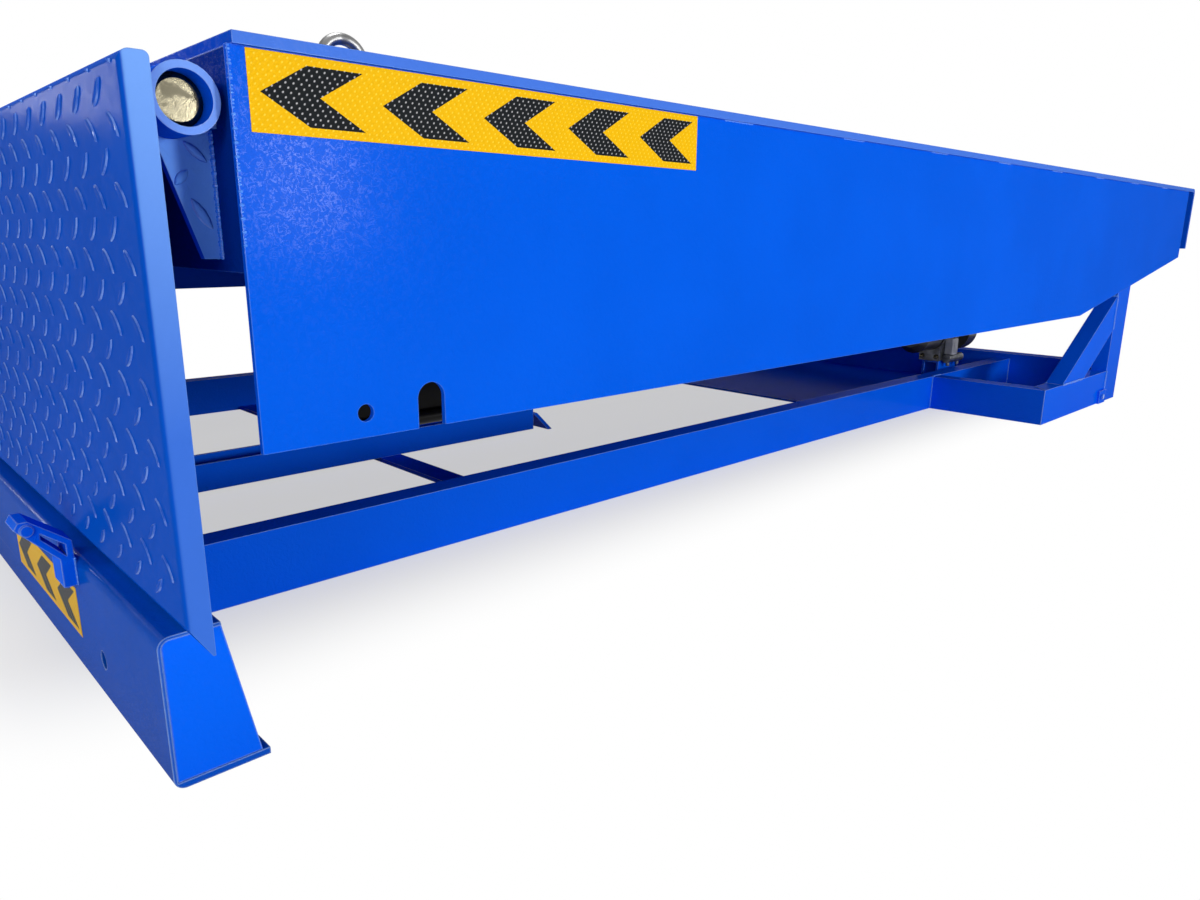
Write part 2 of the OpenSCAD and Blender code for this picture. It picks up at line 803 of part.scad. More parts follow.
// The oil tank is a short drum with a rounded rear end
module pump_tank() {
    r = tank_d / 2;
    color(MOTOR_BLACK) from_deck_edge() translate([pack_x, block_y + block_l, pack_z]) rotate([-90, 0, 0])
        rotate_extrude() {
            square([r, tank_l - tank_round]);
            square([r - tank_round, tank_l]);
            translate([r - tank_round, tank_l - tank_round]) intersection() {
                circle(tank_round);
                square(tank_round);
            }
        }
}

// The solenoid coil stands on the valve barrel, against the side of the block
module solenoid_coil() {
    half_w = coil_w / 2;
    half_l = coil_l / 2;
    seat_z = barrel_z + barrel_d / 2;
    color(STEEL) from_deck_edge() translate([pack_x + barrel_x, block_mid_y - coil_lead, seat_z])
        linear_extrude(coil_h) {
            span(-half_w + coil_r, -half_l, half_w - coil_r, half_l);
            span(-half_w, -half_l + coil_r, half_w, half_l - coil_r);
            for (x = [-1, 1], y = [-1, 1])
                translate([x * (half_w - coil_r), y * (half_l - coil_r)]) circle(coil_r);
        }
}

module deck_plate() {
    color(PAINT_BLUE) from_deck_edge() translate([-side_x, 0, deck_under])
        cube([deck_w, deck_len - apron_bend_r, deck_t]);
}

// The rear apron hangs from a quarter bend that carries on the deck plate
module rear_apron() {
    bend_y = deck_len - apron_bend_r;
    bend_z = deck_h - apron_bend_r;
    color(PAINT_BLUE) from_deck_edge() across(-side_x, side_x) {
        span(deck_len - apron_t, deck_under - apron_h, deck_len, bend_z);
        translate([bend_y, bend_z]) intersection() {
            difference() {
                circle(apron_bend_r);
                circle(apron_bend_r - apron_t);
            }
            square(apron_bend_r);
        }
    }
}

// Side outline of a skirt, with its rising rear edge, tie hole and strap slot
module skirt_outline() {
    rear = deck_len - skirt_rear_gap;
    difference() {
        polygon([
            [-skirt_lead, skirt_bottom],
            [rear - skirt_rise_len, skirt_bottom],
            [rear, skirt_bottom + skirt_rise],
            [rear, deck_under],
            [-skirt_lead, deck_under]
        ]);
        translate([tie_hole_y, skirt_bottom + tie_hole_up]) circle(d = tie_hole_d);
        span(strap_slot_y - strap_slot_w / 2, skirt_bottom - 1,
             strap_slot_y + strap_slot_w / 2, skirt_bottom + strap_slot_h - strap_slot_w / 2);
        translate([strap_slot_y, skirt_bottom + strap_slot_h - strap_slot_w / 2]) circle(d = strap_slot_w);
    }
}

module side_skirt(side) {
    color(PAINT_BLUE) from_deck_edge() on_side(side) across(inner_x, inner_x + skirt_t) skirt_outline();
}

// Guards behind the tie holes and strap slots: upright sheets on the outer stringers, with rolled lower edges
module side_guards() {
    guard_x = inner_x - stringer_margin;
    roll_r = guard_roll_d / 2;
    color(MOTOR_BLACK) from_deck_edge() for (side = [-1, 1]) on_side(side) along(guard_y, guard_y + guard_len) {
        span(guard_x, guard_bottom + roll_r, guard_x + guard_t, deck_under);
        translate([guard_x + roll_r, guard_bottom + roll_r]) circle(roll_r);
    }
}

module front_header() {
    color(PAINT_BLUE) from_deck_edge() translate([-inner_x, 0, deck_under - header_h])
        cube([2 * inner_x, header_t, header_h]);
}

// Channel stringers with their backs towards the middle of the deck
module deck_stringers() {
    color(PAINT_DARK) from_deck_edge() for (i = [0 : stringer_n - 1]) {
        x = -stringer_span / 2 + i * stringer_span / (stringer_n - 1);
        translate([x, 0, deck_under - stringer_h]) mirror([x < 0 ? 1 : 0, 0, 0])
            along(header_t, rear_bar_y) difference() {
                span(-stringer_b / 2, 0, stringer_b / 2, stringer_h);
                span(-stringer_b / 2 + stringer_t, stringer_t, stringer_b, stringer_h - stringer_t);
            }
    }
}

module deck_rear_bar() {
    color(PAINT_DARK) from_deck_edge() translate([-inner_x, rear_bar_y, rear_bar_z])
        cube([2 * inner_x, rear_bar_t, deck_under - rear_bar_z]);
}

// Lugs from the rear bar to the rear hinge pins
module deck_hinge_lugs() {
    color(PAINT_DARK) from_deck_edge() for (x = stations)
        across(x - lug_t / 2, x + lug_t / 2) difference() {
            union() {
                span(rear_bar_y + rear_bar_t, rear_hinge_z - lug_r, rear_hinge_y, rear_hinge_z + lug_r);
                translate([rear_hinge_y, rear_hinge_z]) circle(lug_r);
            }
            translate([rear_hinge_y, rear_hinge_z]) circle(rear_pin_d / 2 + pin_clear);
        }
}

function knuckle_x(i) = -hinge_half + i * knuckle_pitch;

// A knuckle: a tube on the hinge axis with a shorter foot that reaches to the plate at y_plate
module knuckle(i, y_plate) {
    x0 = knuckle_x(i);
    x1 = x0 + knuckle_len;
    difference() {
        union() {
            bar_x(knuckle_od, x0, x1, hinge_y, hinge_z);
            across(x0 + knuckle_foot_inset, x1 - knuckle_foot_inset)
                span(min(y_plate, hinge_y), hinge_z - knuckle_foot_h / 2,
                     max(y_plate, hinge_y), hinge_z + knuckle_foot_h / 2);
        }
        bar_x(2 * pin_bore_r, x0 - 1, x1 + 1, hinge_y, hinge_z);
    }
}

module deck_knuckles() {
    color(PAINT_BLUE) from_deck_edge() for (i = [0 : 2 : knuckle_n - 1]) knuckle(i, 0);
}

// Gussets under both ends of each deck knuckle, coped round the tube and welded to the header
module hinge_gussets() {
    foot_z = deck_under - header_h + gusset_foot_up;
    top_z = hinge_z - knuckle_foot_h / 2;
    nose_z = hinge_z - knuckle_od / 2 - gusset_t;
    color(PAINT_BLUE) from_deck_edge() for (i = [0 : 2 : knuckle_n - 1], end = [0, 1]) {
        x = knuckle_x(i) + (end == 0 ? gusset_inset : knuckle_len - gusset_inset);
        across(x - gusset_t / 2, x + gusset_t / 2) difference() {
            polygon([
                [0, foot_z],
                [0, top_z],
                [-gusset_reach, top_z],
                [-gusset_reach, nose_z],
                [-gusset_foot, foot_z]
            ]);
            translate([hinge_y, hinge_z]) circle(d = knuckle_od);
        }
    }
}

module hinge_pin() {
    r = pin_bore_r - pin_clear;
    half = hinge_half - pin_recess;
    color(STEEL) from_deck_edge() translate([0, hinge_y, hinge_z]) rotate([0, 90, 0]) rotate_extrude()
        polygon([
            [0, -half],
            [r - pin_chamfer, -half],
            [r, -half + pin_chamfer],
            [r, half - pin_chamfer],
            [r - pin_chamfer, half],
            [0, half]
        ]);
}

// Forged eyes: a ring on a round collar that sits on the deck
module lifting_eyes() {
    eye_x = side_x - eye_inset;
    ring_r = (eye_od - eye_bar) / 2;
    ring_z = deck_h + eye_collar_h + eye_od / 2 - eye_bar / 4;
    color(STEEL) from_deck_edge() for (side = [-1, 1]) {
        translate([side * eye_x, eye_y, deck_h]) cylinder(d = eye_collar_d, h = eye_collar_h);
        translate([side * eye_x, eye_y, ring_z]) rotate([0, 90, 0])
            rotate_extrude() translate([ring_r, 0]) circle(d = eye_bar);
    }
}

// Side outline of the lip: a rounded heel and upper back edge, and a bevelled tip
module lip_outline() {
    polygon([
        [lip_back, lip_tip],
        [lip_back, lip_top - lip_back_r],
        [lip_back - lip_back_r, lip_top - lip_back_r],
        [lip_back - lip_back_r, lip_top],
        [lip_front + lip_heel_r, lip_top],
        [lip_front + lip_heel_r, lip_top - lip_heel_r],
        [lip_front, lip_top - lip_heel_r],
        [lip_front, lip_tip + lip_bevel_h],
        [lip_back - lip_tip_t, lip_tip]
    ]);
    translate([lip_front + lip_heel_r, lip_top - lip_heel_r]) circle(lip_heel_r);
    translate([lip_back - lip_back_r, lip_top - lip_back_r]) circle(lip_back_r);
}

// Plan outline of the lip, with its front corners rounded
module lip_plan() {
    corner_x = side_x - lip_side_r;
    span(-side_x, lip_front + lip_side_r, side_x, lip_back);
    span(-corner_x, lip_front, corner_x, lip_back);
    for (x = [-corner_x, corner_x]) translate([x, lip_front + lip_side_r]) circle(lip_side_r);
}

// The lip hangs upright
module lip_plate() {
    color(PAINT_BLUE) from_deck_edge() intersection() {
        across(-side_x, side_x) lip_outline();
        linear_extrude(deck_h) lip_plan();
    }
}

module lip_knuckles() {
    color(PAINT_BLUE) from_deck_edge() for (i = [1 : 2 : knuckle_n - 2]) knuckle(i, lip_back);
}

front_beam();
front_beam_end(1);  // front_beam_end_r
front_beam_end(-1);  // front_beam_end_l
lip_keeper(1);  // lip_keeper_r
lip_keeper(-1);  // lip_keeper_l
side_rail(1);  // side_rail_r
side_rail(-1);  // side_rail_l
outrigger_front(1);  // outrigger_front_r
outrigger_front(-1);  // outrigger_front_l
outrigger_side(1);  // outrigger_side_r
outrigger_side(-1);  // outrigger_side_l
rear_post(1);  // rear_post_r
rear_post(-1);  // rear_post_l
post_brace(1);  // post_brace_r
post_brace(-1);  // post_brace_l
post_foot_tabs();
rear_cross_beam();
rear_hinge_beam();
rear_hinge_ears();
rear_hinge_pins();
maintenance_prop();
prop_foot();
prop_pivot_lugs();
prop_pivot_pin();
prop_rest_bar();
pump_floor_plate();
pump_bracket();
pump_valve_block();
pump_motor();
pump_tank();
solenoid_coil();
deck_plate();
rear_apron();
side_skirt(1);  // side_skirt_r
side_skirt(-1);  // side_skirt_l
side_guards();
front_header();
deck_stringers();
deck_rear_bar();
deck_hinge_lugs();
deck_knuckles();
hinge_gussets();
hinge_pin();
lifting_eyes();
lip_plate();
lip_knuckles();
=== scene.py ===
"""Looks of a hydraulic dock leveler: enamel, tread plate, hazard tape, welds and a plain studio.

Lengths are in metres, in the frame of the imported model: +X is the right side seen from the front,
+Y runs to the rear and +Z is up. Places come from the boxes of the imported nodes.
"""
import json
import logging
import math
from dataclasses import dataclass, field
from enum import Enum
from typing import ClassVar

import bmesh
import bpy
from mathutils import Matrix, Vector


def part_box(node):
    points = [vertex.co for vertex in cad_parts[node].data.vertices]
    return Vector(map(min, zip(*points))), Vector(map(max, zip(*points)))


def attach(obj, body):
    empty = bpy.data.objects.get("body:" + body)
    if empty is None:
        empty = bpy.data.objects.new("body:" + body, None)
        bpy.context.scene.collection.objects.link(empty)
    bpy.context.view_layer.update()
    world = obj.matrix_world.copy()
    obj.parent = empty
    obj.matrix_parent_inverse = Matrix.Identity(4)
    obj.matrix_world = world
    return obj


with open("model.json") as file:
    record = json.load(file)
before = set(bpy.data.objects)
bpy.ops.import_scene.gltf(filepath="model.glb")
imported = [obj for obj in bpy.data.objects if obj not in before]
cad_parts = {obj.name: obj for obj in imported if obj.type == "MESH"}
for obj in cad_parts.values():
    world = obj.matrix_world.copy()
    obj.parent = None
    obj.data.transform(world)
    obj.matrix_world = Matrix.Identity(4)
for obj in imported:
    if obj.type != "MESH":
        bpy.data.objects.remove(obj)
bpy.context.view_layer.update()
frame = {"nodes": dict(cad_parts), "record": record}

SIDEWAYS = 0.99
log = logging.getLogger("dock_leveler")

Colour = tuple[float, float, float]
Point = tuple[float, float, float]


class Body(Enum):
    """The bodies that the hinges move."""

    BASE = "base"
    DECK = "deck"
    LIP = "lip"


class Slot(Enum):
    """The record's material slots, named when each piece is made."""

    PAINT = "blue_paint"
    ZINC = "zinc_steel"
    RESIN = "coil_resin"
    FILM = "hazard_film"


class Side(Enum):
    """The two mirrored sides of the leveler."""

    RIGHT = 1
    LEFT = -1

    @property
    def tag(self) -> str:
        """The letter that ends the names of this side's pieces."""
        return "r" if self is Side.RIGHT else "l"

    def outer(self, low: Vector, high: Vector) -> float:
        """The x of a box's side that looks away from the leveler's middle."""
        return high.x if self is Side.RIGHT else low.x

    def inner(self, low: Vector, high: Vector) -> float:
        """The x of a box's side that looks to the leveler's middle."""
        return low.x if self is Side.RIGHT else high.x


class Facing(Enum):
    """Which way a flat piece looks, as the axes of its length, height and outward normal."""

    RIGHT = ((0, 1, 0), (0, 0, 1), (1, 0, 0))
    LEFT = ((0, 1, 0), (0, 0, 1), (-1, 0, 0))
    FRONT = ((1, 0, 0), (0, 0, 1), (0, -1, 0))
    FRONT_MIRRORED = ((-1, 0, 0), (0, 0, 1), (0, -1, 0))

    def place(self, origin: Vector) -> Matrix:
        """Gives the transform that lays a flat piece on a surface.

        Args:
            origin: Where the flat piece's own origin goes.

        Returns:
            The matrix from the flat piece's axes to the model's.
        """
        turn = Matrix(self.value).transposed().to_4x4()
        return Matrix.Translation(origin) @ turn


class NodeBuilder:
    """Adds linked nodes to one shader tree."""

    def __init__(self, tree: bpy.types.NodeTree) -> None:
        """Keeps the tree that the nodes go into."""
        self.tree = tree

    def add(self, kind: str, inputs: dict | None = None, **settings: object) -> bpy.types.Node:
        """Adds a node.

        Args:
            kind: The node's type name.
            inputs: Values or sockets for its inputs, by name or number.
            **settings: Values for the node's own properties.

        Returns:
            The new node.
        """
        node = self.tree.nodes.new(kind)
        for name, value in settings.items():
            setattr(node, name, value)
        self.feed(node, inputs or {})
        return node

    def feed(self, node: bpy.types.Node, inputs: dict) -> None:
        """Sets a node's inputs.

        Args:
            node: The node.
            inputs: Values or sockets for its inputs, by name or number.
        """
        for key, value in inputs.items():
            if isinstance(value, bpy.types.NodeSocket):
                self.tree.links.new(value, node.inputs[key])
            else:
                node.inputs[key].default_value = value

    def math(self, operation: str, a: object, b: object = 0.0) -> bpy.types.NodeSocket:
        """Adds a math node.

        Args:
            operation: The node's operation.
            a: First value or socket.
            b: Second value or socket.

        Returns:
            The socket of the result.
        """
        return self.add("ShaderNodeMath", {0: a, 1: b}, operation=operation).outputs[0]

    def ramp(
        self, value: object, low: float, high: float, to_low: float, to_high: float
    ) -> bpy.types.NodeSocket:
        """Maps a value smoothly from one range to another.

        Args:
            value: The socket to map.
            low: Start of the range that is read.
            high: End of the range that is read.
            to_low: Result at the start.
            to_high: Result at the end.

        Returns:
            The socket of the result.
        """
        node = self.add(
            "ShaderNodeMapRange",
            {0: value, 1: low, 2: high, 3: to_low, 4: to_high},
            interpolation_type="SMOOTHSTEP",
        )
        return node.outputs[0]

    def blend(self, factor: object, a: object, b: object) -> bpy.types.NodeSocket:
        """Mixes two colours.

        Args:
            factor: Share of the second colour.
            a: First colour or socket.
            b: Second colour or socket.

        Returns:
            The socket of the mixed colour.
        """
        first, second = (
            value if isinstance(value, bpy.types.NodeSocket) else (*value, 1.0) for value in (a, b)
        )
        return self.add("ShaderNodeMix", {0: factor, 6: first, 7: second}, data_type="RGBA").outputs[2]

    def object_coords(self) -> bpy.types.NodeSocket:
        """Adds the coordinates of the piece's own frame."""
        return self.add("ShaderNodeTexCoord").outputs["Object"]


class EffectGroup:
    """A shader node group that several finishes share."""

    def __init__(self, name: str, inputs: dict[str, float], outputs: dict[str, str]) -> None:
        """Makes the group with its sockets.

        Args:
            name: Name of the group.
            inputs: Names and usual values of its inputs.
            outputs: Names and socket types of its outputs.
        """
        self.tree = bpy.data.node_groups.new(name, "ShaderNodeTree")
        for label, value in inputs.items():
            socket = self.tree.interface.new_socket(label, in_out="INPUT", socket_type="NodeSocketFloat")
            socket.default_value = value
        for label, kind in outputs.items():
            self.tree.interface.new_socket(label, in_out="OUTPUT", socket_type=kind)
        self.nodes = NodeBuilder(self.tree)
        self.given = self.nodes.add("NodeGroupInput").outputs
        self.result = self.nodes.add("NodeGroupOutput").inputs

    def put_out(self, label: str, socket: bpy.types.NodeSocket) -> None:
        """Links a socket to one of the group's outputs."""
        self.tree.links.new(socket, self.result[label])

    def use(self, nodes: NodeBuilder, **inputs: object) -> bpy.types.bpy_prop_collection:
        """Places the group in a material.

        Args:
            nodes: The builder of the material's tree.
            **inputs: Values for the group's inputs.

        Returns:
            The outputs of the placed group.
        """
        return nodes.add("ShaderNodeGroup", inputs, node_tree=self.tree).outputs


class Effects:
    """The shared surface effects."""

    FLOAT = "NodeSocketFloat"
    VECTOR = "NodeSocketVector"

    def __init__(self) -> None:
        """Makes each group once."""
        self.skin = self._paint_skin()
        self.edge = self._soft_edge()
        self.grain = self._metal_grain()
        self.dimple = self._film_dimple()
        # The mask of the painted highlight on faces that look sideways.
        self.cut = self._painted_side_highlight()

    def _paint_skin(self) -> EffectGroup:
        """The wrinkled skin of thick enamel, with slow changes of tone.

        Returns:
            The new group.
        """
        outputs = {"Height": self.FLOAT, "Vein": self.FLOAT, "Tone": self.FLOAT}
        group = EffectGroup("paint_skin", {"Peel": 190.0, "Cloud": 5.0}, outputs)
        nodes = group.nodes
        coords = nodes.object_coords()
        peel = nodes.add(
            "ShaderNodeTexNoise",
            {"Vector": coords, "Scale": group.given["Peel"], "Detail": 2.0, "Roughness": 0.55,
             "Distortion": 0.9},
        ).outputs[0]
        cloud = nodes.add(
            "ShaderNodeTexNoise",
            {"Vector": coords, "Scale": group.given["Cloud"], "Detail": 3.0},
        ).outputs[0]
        group.put_out("Height", peel)
        off_ridge = nodes.math("ABSOLUTE", nodes.math("SUBTRACT", peel, 0.5))
        group.put_out("Vein", nodes.ramp(off_ridge, 0.0, 0.045, 1.0, 0.0))
        group.put_out("Tone", nodes.ramp(cloud, 0.3, 0.7, 0.0, 1.0))
        return group

    def _soft_edge(self) -> EffectGroup:
        """A small round on sharp edges, and a mask of where it lies.

        Returns:
            The new group.
        """
        outputs = {"Normal": self.VECTOR, "Edge": self.FLOAT}
        group = EffectGroup("soft_edge", {"Radius": 0.002}, outputs)
        nodes = group.nodes
        rounded = nodes.add("ShaderNodeBevel", {"Radius": group.given["Radius"]}, samples=6).outputs[0]
        flat = nodes.add("ShaderNodeNewGeometry").outputs["Normal"]
        match = nodes.add(
            "ShaderNodeVectorMath", {0: rounded, 1: flat}, operation="DOT_PRODUCT"
        ).outputs["Value"]
        group.put_out("Normal", rounded)
        group.put_out("Edge", nodes.ramp(match, 0.995, 0.80, 0.0, 1.0))
        return group

    def _metal_grain(self) -> EffectGroup:
        """Fine specks and broad stains of bare metal and moulded resin.

        Returns:
            The new group.
        """
        outputs = {"Height": self.FLOAT, "Stain": self.FLOAT}
        group = EffectGroup("metal_grain", {"Fine": 900.0, "Broad": 40.0}, outputs)
        nodes = group.nodes
        coords = nodes.object_coords()
        fine = nodes.add(
            "ShaderNodeTexNoise", {"Vector": coords, "Scale": group.given["Fine"], "Detail": 3.0}
        ).outputs[0]
        broad = nodes.add(
            "ShaderNodeTexNoise",
            {"Vector": coords, "Scale": group.given["Broad"], "Detail": 4.0, "Distortion": 0.8},
        ).outputs[0]
        group.put_out("Height", fine)
        group.put_out("Stain", nodes.ramp(broad, 0.35, 0.65, 0.0, 1.0))
        return group

    def _film_dimple(self) -> EffectGroup:
        """The staggered dimples of reflective film, as a height and as a mask of slanted crests, where a
        highlight is painted in.

        Returns:
            The new group.
        """
        outputs = {"Height": self.FLOAT, "Glint": self.FLOAT}
        group = EffectGroup("film_dimple", {"Across": 0.0029, "Up": 0.0064, "Slant": 0.35}, outputs)
        nodes = group.nodes
        axes = nodes.add("ShaderNodeSeparateXYZ", {0: nodes.object_coords()}).outputs
        run = nodes.math("SUBTRACT", nodes.math("ADD", axes["X"], axes["Y"]),
                         nodes.math("MULTIPLY", axes["Z"], group.given["Slant"]))
        along = nodes.math("MULTIPLY", nodes.math("DIVIDE", run, group.given["Across"]), math.pi)
        upward = nodes.math("MULTIPLY", nodes.math("DIVIDE", axes["Z"], group.given["Up"]), math.tau)
        height = nodes.math("MULTIPLY", nodes.math("SINE", along), nodes.math("SINE", upward))
        group.put_out("Height", height)
        group.put_out("Glint", nodes.ramp(height, 0.55, 0.97, 0.0, 1.0))
        return group

    def _painted_side_highlight(self) -> EffectGroup:
        """A mask of the faces that look sideways, stronger towards the deck's height, where a painted
        highlight goes.

        Returns:
            The new group.
        """
        group = EffectGroup("painted_side_highlight", {"Low": 0.30, "High": 0.56}, {"Mask": self.FLOAT})
        nodes = group.nodes
        normal = nodes.add("ShaderNodeNewGeometry").outputs["Normal"]
        across = nodes.add("ShaderNodeSeparateXYZ", {0: normal}).outputs["X"]
        side = nodes.ramp(nodes.math("ABSOLUTE", across), 0.75, 0.97, 0.0, 1.0)
        height = nodes.add("ShaderNodeSeparateXYZ", {0: nodes.object_coords()}).outputs["Z"]
        rise = nodes.add(
            "ShaderNodeMapRange", {0: height, 1: group.given["Low"], 2: group.given["High"], 3: 0.25, 4: 1.0}
        ).outputs[0]
        group.put_out("Mask", nodes.math("MULTIPLY", side, rise))
        return group


class Finish:
    """A finish that makes its own material from the shared effects."""

    name: str

    def material(self, effects: Effects) -> bpy.types.Material:
        """Makes the material.

        Args:
            effects: The shared surface effects.

        Returns:
            The new material.
        """
        material = bpy.data.materials.new(self.name)
        material.use_nodes = True
        material.node_tree.nodes.clear()
        nodes = NodeBuilder(material.node_tree)
        shader = nodes.add("ShaderNodeBsdfPrincipled")
        self.wire(nodes, shader, effects)
        nodes.add("ShaderNodeOutputMaterial", {"Surface": shader.outputs[0]})
        return material

    def wire(self, nodes: NodeBuilder, shader: bpy.types.Node, effects: Effects) -> None:
        """Sets the shader's sockets; each finish has its own way."""
        raise NotImplementedError

    @staticmethod
    def bump(
        nodes: NodeBuilder, shader: bpy.types.Node, height: object, depth: float, normal: object
    ) -> None:
        """Feeds the shader's normal from a height.

        Args:
            nodes: The builder of the material's tree.
            shader: The shader whose normal is set.
            height: The socket of the height, from 0 to 1.
            depth: How deep the whole height goes, in metres.
            normal: The socket of the normal under the bump.
        """
        inputs = {"Strength": 1.0, "Distance": depth, "Height": height, "Normal": normal}
        node = nodes.add("ShaderNodeBump", inputs)
        nodes.feed(shader, {"Normal": node.outputs[0]})


@dataclass(frozen=True)
class PaintFinish(Finish):
    """Blue enamel: a clear gloss on a saturated colour, wrinkled like orange peel."""

    name: str
    colour: Colour = (0.0012, 0.104, 0.76)
    deep: Colour = (0.0010, 0.096, 0.71)
    # Painted highlight: a lighter colour on the edges, where the light catches them.
    edge_highlight_colour: Colour = (0.100, 0.290, 0.92)
    # Painted highlight on the faces that look sideways, brighter towards the deck's height.
    cut: Colour = (0.17, 0.36, 0.90)
    gloss: float = 0.014
    vein_gloss: float = 0.075
    edge_gloss: float = 0.40
    edge_highlight_share: float = 0.7
    shine: float = 0.0
    shine_roughness: float = 0.16
    side_highlight_share: float = 0.0
    gloss_roughness: float = 0.17
    cloud: float = 5.0
    peel: float = 190.0
    peel_depth: float = 0.0007
    edge_radius: float = 0.0015

    def wire(self, nodes: NodeBuilder, shader: bpy.types.Node, effects: Effects) -> None:
        """Sets colour, gloss and wrinkles, with a painted highlight on the edges and, where a side share is
        set, a painted highlight on the faces that look sideways.

        Args:
            nodes: The builder of the material's tree.
            shader: The material's shader.
            effects: The shared surface effects.
        """
        skin = effects.skin.use(nodes, Peel=self.peel, Cloud=self.cloud)
        edge = effects.edge.use(nodes, Radius=self.edge_radius)
        body = nodes.blend(skin["Tone"], self.deep, self.colour)
        # Painted highlight on the edges, mixed into the base colour.
        edge_highlight_mask = nodes.math("MULTIPLY", edge["Edge"], self.edge_highlight_share)
        body = nodes.blend(edge_highlight_mask, body, self.edge_highlight_colour)
        # Painted highlight on the faces that look sideways.
        if self.side_highlight_share:
            bare = nodes.math("MULTIPLY", effects.cut.use(nodes)["Mask"], self.side_highlight_share)
            body = nodes.blend(bare, body, self.cut)
        wet = nodes.math("MULTIPLY", skin["Vein"], self.vein_gloss)
        rim = nodes.math("MULTIPLY", edge["Edge"], self.edge_gloss)
        nodes.feed(shader, {
            "Base Color": body,
            "Coat Weight": nodes.math("ADD", nodes.math("ADD", wet, rim), self.gloss),
            "Coat Roughness": self.gloss_roughness,
            "Roughness": self.shine_roughness,
            "Specular IOR Level": self.shine,
        })
        self.bump(nodes, shader, skin["Height"], self.peel_depth, edge["Normal"])


@dataclass(frozen=True)
class MetalFinish(Finish):
    """Bare or plated metal with a fine grain and faint stains."""

    name: str
    colour: Colour
    stain: Colour
    roughness: float = 0.25
    stain_roughness: float = 0.42
    grain_depth: float = 0.00004
    fine: float = 900.0
    broad: float = 40.0
    edge_radius: float = 0.0008
    metallic: float = 1.0
    shine: float = 0.5

    def wire(self, nodes: NodeBuilder, shader: bpy.types.Node, effects: Effects) -> None:
        """Sets the metal's colour, its stains and its grain.

        Args:
            nodes: The builder of the material's tree.
            shader: The material's shader.
            effects: The shared surface effects.
        """
        grain = effects.grain.use(nodes, Fine=self.fine, Broad=self.broad)
        edge = effects.edge.use(nodes, Radius=self.edge_radius)
        nodes.feed(shader, {
            "Base Color": nodes.blend(grain["Stain"], self.colour, self.stain),
            "Roughness": nodes.ramp(grain["Stain"], 0.0, 1.0, self.roughness, self.stain_roughness),
            "Metallic": self.metallic,
            "Specular IOR Level": self.shine,
        })
        self.bump(nodes, shader, grain["Height"], self.grain_depth, edge["Normal"])


@dataclass(frozen=True)
class FilmFinish(Finish):
    """Reflective film with staggered dimples and a highlight painted on their crests."""

    name: str
    colour: Colour
    speck: Colour
    glint_share: float
    roughness: float = 0.45
    shine: float = 0.04
    dimple_depth: float = 0.00012

    def wire(self, nodes: NodeBuilder, shader: bpy.types.Node, effects: Effects) -> None:
        """Sets the film's colour and the painted highlight on its dimples.

        Args:
            nodes: The builder of the material's tree.
            shader: The material's shader.
            effects: The shared surface effects.
        """
        dimple = effects.dimple.use(nodes)
        # Painted highlight: a lighter colour on the dimples' crests.
        share = nodes.math("MULTIPLY", dimple["Glint"], self.glint_share)
        nodes.feed(shader, {
            "Base Color": nodes.blend(share, self.colour, self.speck),
            "Roughness": self.roughness,
            "Specular IOR Level": self.shine,
        })
        normal = nodes.add("ShaderNodeNewGeometry").outputs["Normal"]
        self.bump(nodes, shader, dimple["Height"], self.dimple_depth, normal)


# Darker copies of the blue for the lip and its lugs: painted shade.
LIP_PAINTED_SHADE_BLUE: Colour = (0.0012, 0.085, 0.58)
LIP_PAINTED_SHADE_DEEP: Colour = (0.0010, 0.076, 0.53)
# Painted highlight on the edges as a lighter colour, with a real coat gloss there as well.
EDGE_HIGHLIGHT = {"edge_highlight_colour": (0.36, 0.58, 1.0), "edge_gloss": 0.5, "edge_radius": 0.0025}
LUG_SKIN = {"vein_gloss": 0.0, "gloss_roughness": 0.07, "peel_depth": 0.0002, "edge_radius": 0.0006}


